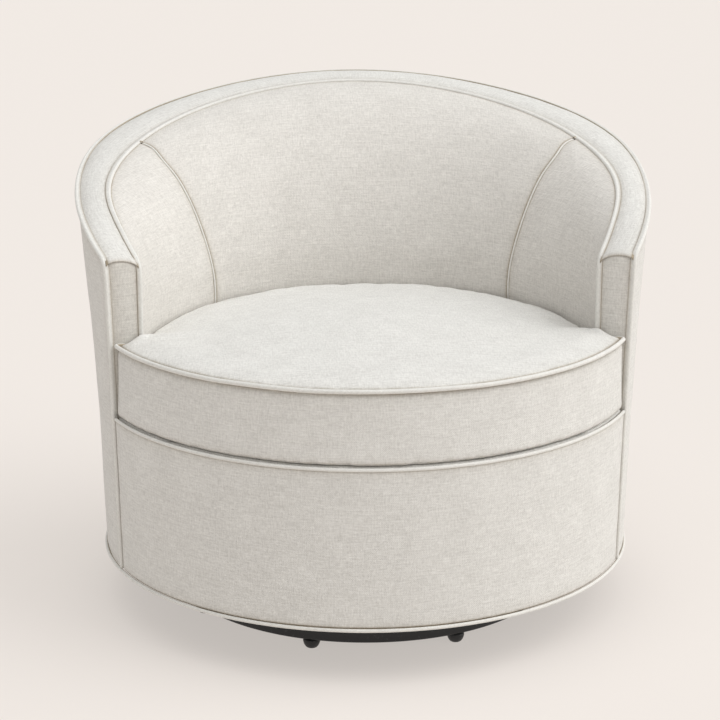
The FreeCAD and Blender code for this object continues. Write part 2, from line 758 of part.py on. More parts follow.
def inside_r(phi, z):
    """Radius of the inside cloth: upright at the seat, then rolling back to the rim."""
    phi = fold(phi)
    t = (z - N("pad_turn")) / (rim_zi(phi) - N("pad_turn"))
    if t <= 0:
        return seat_rc(phi)
    return seat_rc(phi) + (rim_ri(phi) - seat_rc(phi)) * lean(t)


def smooth(x):
    x = min(max(x, 0.0), 1.0)
    return x * x * (3 - 2 * x)


def foam_thick(phi):
    return 12.0 + 43.0 * smooth((fold(phi) - 74.0) / 44.0)


def offset(path, d):
    """The path moved by d to its right-hand side."""
    out = []
    n = len(path)
    for i in range(n):
        a = path[max(i - 1, 0)]
        c = path[min(i + 1, n - 1)]
        p = path[i]
        v1 = (p[0] - a[0], p[1] - a[1]) if i > 0 else (c[0] - p[0], c[1] - p[1])
        v2 = (c[0] - p[0], c[1] - p[1]) if i < n - 1 else v1
        l1, l2 = math.hypot(*v1), math.hypot(*v2)
        n1, n2 = (v1[1] / l1, -v1[0] / l1), (v2[1] / l2, -v2[0] / l2)
        mx, my = n1[0] + n2[0], n1[1] + n2[1]
        k = 2.0 / (mx * mx + my * my)
        out.append((p[0] + d * mx * k, p[1] + d * my * k))
    return out


def point(phi, r, z):
    a = math.radians(phi)
    return Vector(r * math.sin(a), -r * math.cos(a), z)


def section(phi, poly):
    pts = [point(phi, r, z) for r, z in poly]
    return Part.makePolygon(pts + [pts[0]])


def spread(a, c, step):
    n = max(2, int(math.ceil((c - a) / step)) + 1)
    return [a + (c - a) * i / (n - 1) for i in range(n)]


def swept(a, c, poly, step=9.0):
    """A solid through a cross-section that changes smoothly from angle a to angle c."""
    solid = Part.makeLoft([section(p, poly(p)) for p in spread(a, c, step)], True, False)
    if solid.Volume < 0:
        solid.reverse()
    return solid


def node(label, shape):
    o = doc.addObject("Part::Feature", label + "_shape")
    o.Shape = shape
    return done(o, label)


def shell(label, a, c, poly, step=9.0):
    return node(label, swept(a, c, poly, step))


FA = N("front_angle")
CL, BT, BD = N("cloth"), N("batting"), N("board")

# front of the drum
FRONT = FA - 0.25


def drum_wall(r_in, r_out, z0, z1):
    return lambda phi: [(drum_r(z0) - r_in, z0), (drum_r(z0) - r_out, z0), (drum_r(z1) - r_out, z1), (drum_r(z1) - r_in, z1)]


shell("base_front_cover", -FRONT, FRONT, drum_wall(CL, 0, N("skirt_low"), N("seat_line") - 3.0))
front_batting = swept(-FRONT + 0.3, FRONT - 0.3, drum_wall(CL + 0.4 + BT, CL + 0.4, N("skirt_low"), N("seat_line") - 3.0))
shell("front_panel_board", -FRONT + 1.2, FRONT - 1.2, drum_wall(CL + BT + 0.8 + BD, CL + BT + 0.8, N("drum_low"), 312.0))

# foam edge roll along the front of the seat frame
b = body("front_edge_roll_body")
sk = sketch(b, "XZ_Plane")
rect(sk, 366.5, 387.5, D("seat_frame_low") + ply + 0.4, D("deck_top") - 2.0)
revolve(b, sk, 2 * (FRONT - 1.5), True)
done(b, "front_edge_roll")
b.Placement = Placement(Vector(0, N("axis_y"), 0), Rotation(Vector(0, 0, 1), -90))


# sides and back, one piece of cloth from arm front to arm front
def outer_levels(phi, z0, drop):
    top = rim_zo(fold(phi)) - drop
    mid = N("seat_line") - 10
    return [z0, mid] + [mid + (top - mid) * k for k in (0.25, 0.5, 0.75, 1.0)]


def outer_wall(r_in, r_out, z0, drop):
    def poly(phi):
        zs = outer_levels(phi, z0, drop)
        a = [(shell_r(phi, z) - r_out, z) for z in zs]
        c = [(shell_r(phi, z) - r_in, z) for z in zs]
        return a + c[::-1]

    return poly


BACK = FA + 0.85
shell("outer_back_cover", BACK, 360 - BACK, outer_wall(CL, 0, N("skirt_low"), 4.0))
outer_batting = swept(BACK + 0.3, 359.7 - BACK, outer_wall(CL + 0.4 + BT, CL + 0.4, N("skirt_low"), 7.0))
node("shell_batting", Part.makeCompound([front_batting, outer_batting]))
panel = (359.0 - 2 * BACK) / 6.0
outer_boards = [
    swept(BACK + 0.5 + panel * i + 0.04, BACK + 0.5 + panel * (i + 1) - 0.04, outer_wall(CL + BT + 0.8 + BD, CL + BT + 0.8, N("drum_low"), 19.0))
    for i in range(6)
]
node("outer_back_board", Part.makeCompound(outer_boards))
INNER = CL + BT + BD + 1.2  # the boards' inner faces, in from the cloth

# laminated top rail under the rim
RAIL_LOW, RAIL_TOP = 46.0, 18.0


def rail_poly(phi):
    p = fold(phi)
    z0, z1 = rim_zi(p) - RAIL_LOW, rim_zi(p) - RAIL_TOP
    r0 = rim_ri(p) + 6.0
    return [(r0, z0), (shell_r(p, z0) - INNER, z0), (shell_r(p, z1) - INNER, z1), (r0, z1)]


shell("top_rail", FA + 2.2, 357.8 - FA, rail_poly)


def crown(phi, inset, drop):
    """The rim's crowned top line from the inner welt to the outer one."""
    p = fold(phi)
    ri, ro, zi, zo = rim_ri(p) + inset, rim_ro(p) - inset, rim_zi(p), rim_zo(p)
    wd = ro - ri
    pts = [(0.0, -0.6), (0.22, 3.6), (0.5, 5.7), (0.78, 3.6), (1.0, -0.6)]
    return [(ri + wd * u, zi + (zo - zi) * u + h - drop) for u, h in pts]


def band_poly(phi):
    top = crown(phi, 3.6, 0.0)
    return top + offset(top, CL)[::-1]


def band_pad_poly(phi):
    p = fold(phi)
    top = offset(crown(phi, 3.6, 0.0), CL + 0.5)
    zr, zo = rim_zi(p) - RAIL_TOP + 0.3, rim_zo(p)
    lo_in = top[0][0] + 1.5
    za, zb = zo - 6.4, max(zo - 18.2, zr + 0.8)
    top[-1] = (min(top[-1][0], shell_r(p, za) - CL - BT - 0.9), max(top[-1][1], zo - 4.6))
    ra, rb = shell_r(p, za) - CL - BT - 1.0, shell_r(p, zb) - INNER - 0.3
    return [(lo_in + 2.5, zr), (lo_in, zr + 6)] + top + [(ra, za), (rb, zb), (rb - 0.6, zr)]


shell("rim_band_cover", FA + 0.4, 359.6 - FA, band_poly)
shell("rim_padding", FA + 1.5, 358.5 - FA, band_pad_poly)

# inside pads and their cloth
LEVELS = [0.2, 0.36, 0.55, 0.7, 0.84, 0.94]


def inside_path(phi):
    p = fold(phi)
    z0, zt, ri, zi = N("pad_low"), N("pad_turn"), rim_ri(p), rim_zi(p)
    path = [(seat_rc(p), z0), (seat_rc(p), zt)]
    for t in LEVELS:
        z = zt + (zi - zt) * t
        path.append((inside_r(p, z), z))
    path[-1] = (min(path[-1][0], ri - 6.4), path[-1][1])
    path.append((ri - 4.4, zi - 2.3))
    return path


def inside_skin(phi):
    a = inside_path(phi)
    return a + offset(a, CL)[::-1]


def back_line(phi, extra):
    """The rear face of the inside foam, from the rail down to the seat frame."""
    p = fold(phi)
    zt, zi = N("pad_turn"), rim_zi(p)
    top = zi - RAIL_LOW
    th = foam_thick(p) + CL + extra
    pts = []
    for u in (1.0, 0.75, 0.5, 0.25, 0.0):
        z = zt + (top - zt) * u - 0.5
        pts.append((min(inside_r(p, z) + th, rim_ri(p) + 4.2 + extra), z))
    pts.append((seat_rc(p) + th, N("pad_low")))
    return pts


def inside_foam(phi):
    p = fold(phi)
    front = offset(inside_path(phi), CL + 0.4)
    front[-1] = (rim_ri(p) - 0.6, rim_zi(p) - 5.5)
    side = [(rim_ri(p) + 3.6, rim_zi(p) - 14.0), (rim_ri(p) + 5.6, rim_zi(p) - RAIL_LOW + 3.0)]
    return front + side + back_line(phi, 0.0)


def liner(phi):
    a = back_line(phi, 0.6)
    c = [(r + 1.6, z - (0.8 if i == 0 else 0.0)) for i, (r, z) in enumerate(a)]
    return a + c[::-1]


SEAM = N("seam_angle")
shell("inside_back_cover", SEAM + 0.06, 359.94 - SEAM, inside_skin)
shell("inside_back_foam", SEAM + 0.06, 359.94 - SEAM, inside_foam)
shell("inside_arm_cover_right", FA + 1.0, SEAM - 0.06, inside_skin, 7.5)
shell("inside_arm_foam_right", FA + 1.0, SEAM - 0.06, inside_foam, 7.5)
shell("inside_arm_cover_left", 360.06 - SEAM, 359.0 - FA, inside_skin, 7.5)
shell("inside_arm_foam_left", 360.06 - SEAM, 359.0 - FA, inside_foam, 7.5)
shell("inner_liner", FA + 2.2, 357.8 - FA, liner)


# upright plywood ribs between the inner liner and the outer board
def rib_outline(phi, z0, spread_deg=0.0):
    """A rib's outline, clear of the liner and the boards over its whole thickness."""
    near = [phi - spread_deg, phi, phi + spread_deg] if spread_deg else [phi]
    lines = [back_line(k, 0.4) for k in near]
    top = min(rim_zi(fold(k)) for k in near) - RAIL_LOW - 0.8
    inner = []
    for i, (r, z) in enumerate(back_line(phi, 0.4)):
        inner.append((max(line[i][0] for line in lines) + 3.2, min(z, top)))
    inner[-1] = (inner[-1][0], z0)
    zs = [z0] + [N("seat_line") - 10 + (top - N("seat_line") + 10) * k for k in (0.0, 0.35, 0.7, 1.0)]
    outer = [(min(shell_r(k, z) for k in near) - INNER - 0.8, z) for z in zs]
    return inner[::-1] + outer[::-1]


def rib(phi, thick):
    z0 = N("seat_frame_low") + N("ply") + 0.3
    pts = rib_outline(phi, z0, 2.8)
    a = math.radians(phi)
    along = Vector(math.cos(a), math.sin(a), 0)
    wire = [point(phi, r, z) - along * (thick / 2) for r, z in pts]
    face = Part.Face(Part.makePolygon(wire + [wire[0]]))
    solid = face.extrude(along * thick)
    lo_r, hi_r = pts[0][0], pts[-1][0]
    if hi_r - lo_r > 90:  # lightening hole low in the wide ribs
        mid = point(phi, (lo_r + hi_r) / 2, z0 + 75)
        solid = solid.cut(Part.makeCylinder(min(38.0, (hi_r - lo_r) / 2 - 25), thick * 3, mid - along * thick * 1.5, along))
    return solid


node("back_ribs", Part.makeCompound([rib(p, N("ply")) for p in (92.0, 134.0, 180.0, 226.0, 268.0)]))


def post_poly(phi):
    return rib_outline(phi, N("seat_frame_low") + N("ply") + 0.3)


shell("arm_post_right", FA + 2.3, FA + 6.6, post_poly, 2.2)
shell("arm_post_left", 353.4 - FA, 357.7 - FA, post_poly, 2.2)


# arm fronts: a padded upright face each side, from the deck to the rim
def arm_front_poly(side_in, side_out, drop):
    def poly(phi):
        p = fold(phi)
        ri, ro, zi, zo = rim_ri(p) + side_in, rim_ro(p) - side_out, rim_zi(p), rim_zo(p)
        return [(ri, 296.0), (shell_r(p, 320.0) - side_out, 296.0), (shell_r(p, 420.0) - side_out, 420.0), (ro, zo - 4 - drop), ((ri + ro) / 2, (zi + zo) / 2 + 1 - drop), (ri, zi - 4 - drop)]

    return poly


shell("arm_front_cover_right", FA, FA + 0.3, arm_front_poly(3.8, 3.8, 0.0), 0.2)
shell("arm_front_cover_left", 359.7 - FA, 360 - FA, arm_front_poly(3.8, 3.8, 0.0), 0.2)
shell("arm_front_pad_right", FA + 0.36, FA + 1.3, arm_front_poly(19.0, 13.0, 6.0), 0.5)
shell("arm_front_pad_left", 358.7 - FA, 359.64 - FA, arm_front_poly(19.0, 13.0, 6.0), 0.5)

# ---------------------------------------------------------------- welts: fabric-covered cords along the seams


def tube_loft(frames, r):
    """A round cord through circles, each given by its centre and direction."""
    wires = [Part.Wire(Part.Circle(c, d, r).toShape()) for c, d in frames]
    solid = Part.makeLoft(wires, True, False)
    if solid.Volume < 0:
        solid.reverse()
    return solid


def rim_frames(fr, fz, a, c, step=7.0):
    out = []
    for p in spread(a, c, step):
        k = fold(p)
        e = 0.4
        p0, p1 = point(p - e, fr(fold(p - e)), fz(fold(p - e))), point(p + e, fr(fold(p + e)), fz(fold(p + e)))
        d = p1 - p0
        d.normalize()
        out.append((point(p, fr(k), fz(k)), d))
    return out


def level_ring(label, radius, z, r, a, c):
    """Part of a torus about the swivel axis."""
    t = Part.makeTorus(radius, r, Vector(0, 0, z), Vector(0, 0, 1), 0, 360, c - a)
    t.rotate(Vector(0, 0, 0), Vector(0, 0, 1), a - 90)
    return node(label, t)


WR = N("welt_radius")
level_ring("bottom_welt", 398.3, 79.8, 3.4, 0, 360)
level_ring("base_top_welt", N("drum_r_top") - 0.5, N("seat_line"), 2.6, -FRONT + 0.3, FRONT - 0.3)


def welt_with_legs(label, fr, fz, leg_r, z0, r, start):
    """The rim cord with its two upright runs down the arm fronts."""
    rim = tube_loft(rim_frames(fr, fz, start, 360 - start), r)
    pieces = [rim]
    for s in (1, -1):
        phi = start if s > 0 else 360 - start
        zt = fz(start)
        zs = [z0 + (zt - z0) * k / 6.0 for k in range(7)]
        leg = tube_loft([(point(phi, leg_r(z), z), Vector(0, 0, 1)) for z in zs], r)
        ball = Part.makeSphere(r * 1.08, point(phi, fr(start), zt))
        pieces += [leg, ball]
    solid = pieces[0].fuse(pieces[1:])
    o = doc.addObject("Part::Feature", label + "_cord")
    o.Shape = solid.Solids[0] if len(solid.Solids) == 1 else solid
    return done(o, label)


welt_with_legs("outer_welt", rim_ro, rim_zo, lambda z: shell_r(FA + 0.3, z) + (rim_ro(FA + 0.3) - shell_r(FA + 0.3, rim_zo(FA + 0.3))), 83.6, WR, FA + 0.3)
welt_with_legs("inner_welt", rim_ri, rim_zi, lambda z: rim_ri(FA + 0.3), 322.0, WR, FA + 0.3)

# ---------------------------------------------------------------- seat springs and deck

Y0, Y1 = N("well_front") - 7, N("well_back") + 7
RUNS = 19


def spring_path(x0, z):
    """A flat zigzag: straight cross runs joined by half circles."""
    pitch = (Y1 - Y0) / RUNS
    r = pitch / 2
    half = N("spring_half") - r
    edges = []
    for i in range(RUNS + 1):
        y = Y0 + pitch * i
        s = 1 if i % 2 == 0 else -1
        a, c = Vector(x0 - s * half, y, z), Vector(x0 + s * half, y, z)
        edges.append(Part.LineSegment(a, c).toShape())
        if i < RUNS:
            edges.append(Part.Arc(c, Vector(x0 + s * (half + r), y + r, z), Vector(x0 + s * half, y + pitch, z)).toShape())
    return Part.Wire(edges), half


def spring(x0):
    z = N("spring_level")
    wire, half = spring_path(x0, z)
    ring = Part.Wire(Part.Circle(Vector(x0 - half, Y0, z), Vector(1, 0, 0), N("spring_wire")).toShape())
    return wire.makePipeShell([ring], True, False), wire.Length


springs, spring_x = [], [-180.0, -108.0, -36.0, 36.0, 108.0, 180.0]
for x0 in spring_x:
    s, length = spring(x0)
    want = math.pi * N("spring_wire") ** 2 * length
    assert abs(s.Volume - want) < 0.01 * want, "spring volume"
    springs.append(s)
o = doc.addObject("Part::Feature", "spring_set")
o.Shape = Part.makeCompound(springs)
done(o, "seat_springs")

clips = []
zf = N("seat_frame_low") + N("ply")
for x0 in spring_x:
    for y, s in ((Y0, -1), (Y1, 1)):
        loop = Part.makeCylinder(3.4, 16, Vector(x0 - 8, y, N("spring_level")), Vector(1, 0, 0))
        foot = Part.makeBox(16, 20, 1.2, Vector(x0 - 8, y if s > 0 else y - 20, zf + 0.05))
        riser = Part.makeBox(16, 1.2, N("spring_level") - zf, Vector(x0 - 8, y + (2.2 if s > 0 else -3.4), zf + 0.05))
        clip = loop.fuse([foot, riser]).removeSplitter()
        clip = clip.cut(Part.makeCylinder(N("spring_wire") + 0.1, 20, Vector(x0 - 10, y, N("spring_level")), Vector(1, 0, 0)))
        clips.append(clip)
o = doc.addObject("Part::Feature", "clip_set")
o.Shape = Part.makeCompound(clips)
done(o, "spring_clips")


def seat_outline(front_r, gap, ear_angle, z):
    """The seat's plan: a round front, ears before the arm fronts, and a U between the arms."""
    corner = seat_rc(FA) - gap
    p_l, p_r = point(-ear_angle, front_r, z), point(ear_angle, front_r, z)
    arc = Part.Arc(p_l, point(0, front_r, z), p_r).toShape()
    q_r, q_l = point(ear_angle, corner, z), point(-ear_angle, corner, z)
    pts = [q_r]
    for p in (72, 76, 82, 88, 96, 104, 113, 122, 131, 140, 152, 166, 180):
        pts.append(point(p, seat_rc(p) - gap, z))
    pts = pts + [Vector(-v.x, v.y, v.z) for v in reversed(pts[:-1])]
    curve = Part.BSplineCurve()
    curve.interpolate(pts)
    edges = [arc, Part.LineSegment(p_r, q_r).toShape(), curve.toShape(), Part.LineSegment(q_l, p_l).toShape()]
    return Part.Wire(Part.__sortEdges__(edges))


def slab(label, wire, height):
    o = doc.addObject("Part::Feature", label + "_slab")
    o.Shape = Part.Face(wire).extrude(Vector(0, 0, height))
    return done(o, label)


pad_z = N("spring_level") + N("spring_wire") + 1.6
slab("deck_pad", seat_outline(352.0, 2.0, FA - 1.0, pad_z), N("deck_top") - 2.0 - pad_z)
slab("deck_cloth", seat_outline(398.6, 1.2, FA - 0.4, N("deck_top") - 1.6), 1.6)

# ---------------------------------------------------------------- loose seat cushion


def cushion_solid(front_r, gap, ear, z0, shrink):
    prism = Part.Face(seat_outline(front_r, gap, ear, z0)).extrude(Vector(0, 0, 200))
    big = N("cushion_crown") - shrink
    ball = Part.makeSphere(big, Vector(0, N("cushion_mid"), N("cushion_top") - N("cushion_crown")))
    return prism.common(ball)


low = N("cushion_low")
WIDE = 2 * WR + 0.9
GAP = N("cushion_gap") + WIDE
outer = cushion_solid(N("cushion_r"), GAP, FA - 1.55, low, 0.0)
inner = cushion_solid(N("cushion_r") - CL, GAP + CL, FA - 1.85, low + CL, CL)
core = cushion_solid(N("cushion_r") - CL - 0.4, GAP + CL + 0.4, FA - 1.91, low + CL + 0.4, CL + 0.4)
o = doc.addObject("Part::Feature", "cushion_shell")
o.Shape = outer.cut(inner)
done(o, "cushion_cover")
o = doc.addObject("Part::Feature", "cushion_block")
o.Shape = core
done(o, "cushion_core")

# the welt round the cushion's top edge: a ten-sided cord mitred along the outline
def plan_cord(pts, z, r, sides=10):
    n = len(pts)
    rings = []
    for i in range(n):
        a, p, c = pts[i - 1], pts[i], pts[(i + 1) % n]
        d1, d2 = p - a, c - p
        d1.normalize()
        d2.normalize()
        n1, n2 = Vector(d1.y, -d1.x, 0), Vector(d2.y, -d2.x, 0)
        m = n1 + n2
        m.normalize()
        k = 1.0 / max(m.dot(n1), 0.5)
        ring = []
        for j in range(sides):
            t = 2 * math.pi * (j + 0.5) / sides
            ring.append(p + m * (r * math.cos(t) * k) + Vector(0, 0, r * math.sin(t)))
        rings.append(ring)
    faces = []
    for i in range(n):
        g, h2 = rings[i], rings[(i + 1) % n]
        for j in range(sides):
            k = (j + 1) % sides
            faces.append(Part.Face(Part.makePolygon([g[j], h2[j], h2[k], g[k], g[j]])))
    solid = Part.Solid(Part.Shell(faces))
    if solid.Volume < 0:
        solid.reverse()
    return solid


def outline_points(front_r, gap, ear_angle, z):
    pts = [point(p, front_r, z) for p in spread(-ear_angle, ear_angle, 4.0)]
    side = [point(ear_angle, front_r - 14.0, z), point(ear_angle, seat_rc(FA) - gap + 0.4, z)]
    us = [point(p, seat_rc(fold(p)) - gap, z) for p in spread(FA + 3.0, 357.0 - FA, 5.0)]
    return pts + side + us + [Vector(-v.x, v.y, v.z) for v in reversed(side)]


WZ = N("cushion_welt_z")
cord = plan_cord(outline_points(N("cushion_r") + WR + 0.2, N("cushion_gap") + WR, FA - 0.88, WZ), WZ, WR)
node("cushion_welt", cord)

# its zip, a tape along the rear face
zip_gap = GAP


def zip_poly(phi):
    r = seat_rc(fold(phi)) - zip_gap
    return [(r + 0.3, 352.0), (r + 1.5, 352.0), (r + 1.5, 372.0), (r + 0.3, 372.0)]


shell("cushion_zip", 140, 220, zip_poly, 6.0)

doc.recompute()

# ---------------------------------------------------------------- check, then write

for o in doc.Objects:
    bad = [s for s in o.State if s in ("Invalid", "Error")]
    if bad:
        raise RuntimeError("%s (%s) is %s" % (o.Name, o.Label, bad))
labels = [o.Label for o in parts]
assert len(set(labels)) == len(labels), "labels repeat"
faulty = [o.Label for o in parts if o.Shape.isNull() or not o.Shape.isValid() or not o.Shape.Solids]
if faulty:
    raise RuntimeError("no valid shape: %s" % ", ".join(faulty))
for o in parts:
    for s in o.Shape.Solids:
        if s.Volume <= 0:
            raise RuntimeError("%s has a solid with volume %s" % (o.Label, s.Volume))

os.makedirs("parts", exist_ok=True)
for old in os.listdir("parts"):
    if old.endswith(".step") and old[:-5] not in labels:
        os.remove(os.path.join("parts", old))
whole = FreeCAD.BoundBox()
for o in parts:
    o.Shape.exportStep("parts/%s.step" % o.Label)
    bb = o.Shape.optimalBoundingBox(False)
    whole.add(bb)
    print("%-24s solids %2d  volume %10.0f  x %7.1f..%7.1f  y %7.1f..%7.1f  z %6.1f..%6.1f" % (o.Label, len(o.Shape.Solids), o.Shape.Volume, bb.XMin, bb.XMax, bb.YMin, bb.YMax, bb.ZMin, bb.ZMax))
print("%d nodes" % len(parts))
print("whole: %.1f x %.1f x %.1f, centre %.2f, %.2f, low %.2f" % (whole.XLength, whole.YLength, whole.ZLength, whole.Center.x, whole.Center.y, whole.ZMin))
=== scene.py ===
import json
import math

import bmesh
import bpy
import numpy as np
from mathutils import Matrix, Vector
from mathutils.bvhtree import BVHTree


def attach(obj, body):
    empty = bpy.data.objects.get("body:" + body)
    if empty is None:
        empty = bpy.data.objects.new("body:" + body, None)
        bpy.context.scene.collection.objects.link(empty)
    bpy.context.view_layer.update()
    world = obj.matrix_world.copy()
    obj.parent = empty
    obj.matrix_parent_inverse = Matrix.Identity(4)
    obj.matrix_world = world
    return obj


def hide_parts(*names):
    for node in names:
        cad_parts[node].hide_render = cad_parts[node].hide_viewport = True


# A swivel barrel chair. Every size below is in millimetres about the swivel axis,
# angles are in degrees from straight ahead towards +X, and grid() turns them to metres.

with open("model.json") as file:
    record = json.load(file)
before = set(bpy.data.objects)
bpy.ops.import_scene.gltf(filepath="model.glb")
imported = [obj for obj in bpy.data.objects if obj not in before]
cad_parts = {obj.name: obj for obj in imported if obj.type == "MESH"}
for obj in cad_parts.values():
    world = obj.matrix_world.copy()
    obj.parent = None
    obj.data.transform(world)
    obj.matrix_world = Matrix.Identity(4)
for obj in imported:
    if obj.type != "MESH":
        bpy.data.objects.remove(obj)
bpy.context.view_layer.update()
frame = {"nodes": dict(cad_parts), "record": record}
nodes = frame["nodes"]
AXIS_Y = -29.5


# ---------------------------------------------------------------- curves of the chair


def spline(xs, ys):
    """Cubic through the points: free at the first, level at the last."""
    n = len(xs)
    xs, ys = np.array(xs, float), np.array(ys, float)
    h = np.diff(xs)
    a, b = np.zeros((n, n)), np.zeros(n)
    a[0, 0] = 1
    for i in range(1, n - 1):
        a[i, i - 1], a[i, i], a[i, i + 1] = h[i - 1], 2 * (h[i - 1] + h[i]), h[i]
        b[i] = 6 * ((ys[i + 1] - ys[i]) / h[i] - (ys[i] - ys[i - 1]) / h[i - 1])
    a[-1, -2], a[-1, -1] = h[-1], 2 * h[-1]
    b[-1] = -6 * (ys[-1] - ys[-2]) / h[-1]
    m = np.linalg.solve(a, b)

    def at(x):
        x = np.asarray(x, float)
        i = np.clip(np.searchsorted(xs, x) - 1, 0, n - 2)
        lo, hi, hh = xs[i], xs[i + 1], h[i]
        return m[i] * (hi - x) ** 3 / (6 * hh) + m[i + 1] * (x - lo) ** 3 / (6 * hh) + (ys[i] / hh - m[i] * hh / 6) * (hi - x) + (ys[i + 1] / hh - m[i + 1] * hh / 6) * (x - lo)

    return at


KNOTS = [68.0, 80.0, 95.0, 115.0, 145.0, 180.0]
_ri = spline(KNOTS, [357.3, 365.9, 384.0, 392.5, 392.5, 391.5])
_zi = spline(KNOTS, [544.0, 578.0, 613.0, 651.0, 695.5, 719.0])
_ro = spline(KNOTS, [409.6, 417.0, 432.0, 456.5, 461.0, 461.0])
_zo = spline(KNOTS, [551.5, 580.0, 608.0, 651.0, 700.0, 724.0])
_rc = spline([68.0, 75.0, 88.0, 101.0, 113.0, 126.0, 140.0, 160.0, 180.0], [357.0, 340.0, 298.0, 268.0, 245.0, 221.0, 201.0, 180.5, 175.0])


def fold(p):
    p = np.asarray(p, float)
    return np.where(p > 180.0, 360.0 - p, p)


def rim_ri(p):
    return _ri(fold(p))


def rim_zi(p):
    return _zi(fold(p))


def rim_ro(p):
    return _ro(fold(p))


def rim_zo(p):
    return _zo(fold(p))


def seat_rc(p):
    return _rc(fold(p))


SKIRT, SEAT_LINE, ARM_FRONT = 83.4, 317.7, 68.0


def drum_r(z):
    t = (np.asarray(z, float) - SKIRT) / (SEAT_LINE - SKIRT)
    return 397.5 + 5.5 * np.clip(t, 0, 1)


def shell_r(p, z):
    top = rim_zo(p)
    z0 = SEAT_LINE - 15
    t = np.clip((z - z0) / (top - z0), 0, 1)
    return drum_r(z) + (rim_ro(p) - 403.0) * t ** 1.2


def smooth(x):
    x = np.clip(x, 0, 1)
    return x * x * (3 - 2 * x)


def grid(p, r, z):
    """Points in metres in the row frame, from angle, radius and height."""
    a = np.radians(p)
    x, y = r * np.sin(a), -r * np.cos(a) + AXIS_Y
    return np.stack(np.broadcast_arrays(x, y, z), -1) * 0.001


def value_noise(u, v, seed):
    """Smooth noise from -1 to 1 with a lattice of one unit, the same every run."""
    lattice = np.random.RandomState(seed).rand(128, 128) * 2 - 1
    iu, iv = np.floor(u).astype(int), np.floor(v).astype(int)
    fu, fv = u - iu, v - iv
    fu, fv = fu ** 3 * (fu * (fu * 6 - 15) + 10), fv ** 3 * (fv * (fv * 6 - 15) + 10)

    def g(a, b):
        return lattice[(iu + a) % 128, (iv + b) % 128]

    return (g(0, 0) * (1 - fu) + g(1, 0) * fu) * (1 - fv) + (g(0, 1) * (1 - fu) + g(1, 1) * fu) * fv


def roll(d, radius, depth):
    """How far cloth has turned in towards a seam, at distance d from it."""
    k = np.clip(1 - np.asarray(d, float) / radius, 0, 1)
    return depth * (1 - np.sqrt(np.clip(1 - k * k, 0, 1)))


def eased(lo, hi, count, edge_lo=0.0, edge_hi=0.0, edge_count=0):
    """Even stations from lo to hi, with closer ones over the last edge_* at each end."""
    mid = np.linspace(lo + edge_lo, hi - edge_hi, count)
    parts = []
    if edge_lo:
        parts.append(lo + edge_lo * (np.linspace(0, 1, edge_count, endpoint=False)) ** 1.3)
    parts.append(mid)
    if edge_hi:
        parts.append(hi - edge_hi * (np.linspace(1, 0, edge_count + 1)[1:]) ** 1.3)
    return np.concatenate(parts)


# ---------------------------------------------------------------- meshes


def cloth_attribute(mesh, values, painted_shade=None):
    a = mesh.attributes.get("cloth") or mesh.attributes.new("cloth", "FLOAT_VECTOR", "POINT")
    a.data.foreach_set("vector", np.ascontiguousarray(values, np.float32).ravel())
    # the second attribute is painted shade, 0 to 1, darkening the linen in seams and shaded places
    c = mesh.attributes.get("painted_shade") or mesh.attributes.new("painted_shade", "FLOAT", "POINT")
    c.data.foreach_set("value", np.ascontiguousarray(np.zeros(len(values)) if painted_shade is None else painted_shade, np.float32).ravel())


def painted_shade_of(d, cover=0.0, base=0.0):
    """How much painted shade cloth gets where it runs down into a seam, at distance d from it in mm, where the first
    part is hidden under a cord; base is painted shade over the whole piece.
    """
    d = np.maximum(np.asarray(d, float) - cover, 0)
    return np.clip(base + 0.78 * np.exp(-((d / 1.7) ** 2)) + 0.30 * np.exp(-d / 5.5), 0, 1)


def make_object(name, verts, faces, cloth=None, painted_shade=None, fix_normals=True):
    mesh = bpy.data.meshes.new(name)
    mesh.from_pydata([tuple(v) for v in verts], [], [tuple(f) for f in faces])
    mesh.update()
    if fix_normals:
        bm = bmesh.new()
        bm.from_mesh(mesh)
        bmesh.ops.recalc_face_normals(bm, faces=bm.faces)
        bm.to_mesh(mesh)
        bm.free()
    mesh.polygons.foreach_set("use_smooth", [True] * len(mesh.polygons))
    if cloth is not None:
        cloth_attribute(mesh, cloth, painted_shade)
    mesh.update()
    o = bpy.data.objects.new(name, mesh)
    bpy.context.scene.collection.objects.link(o)
    return o


def slope(points, closed):
    """Differences along the first two axes of a grid of points."""
    if closed:
        du = np.roll(points, -1, 0) - np.roll(points, 1, 0)
    else:
        du = np.gradient(points, axis=0)
    return du, np.gradient(points, axis=1)


def normals(points, closed=False, sign=1):
    du, dv = slope(points, closed)
    n = np.cross(du, dv) * sign
    return n / np.maximum(np.linalg.norm(n, axis=-1, keepdims=True), 1e-12)


def lengths(points):
    """Distance along each line of the grid, in metres: across the first axis and along the second."""
    u = np.concatenate([np.zeros((1, points.shape[1])), np.cumsum(np.linalg.norm(np.diff(points, axis=0), axis=-1), 0)], 0)
    v = np.concatenate([np.zeros((points.shape[0], 1)), np.cumsum(np.linalg.norm(np.diff(points, axis=1), axis=-1), 1)], 1)
    return u, v


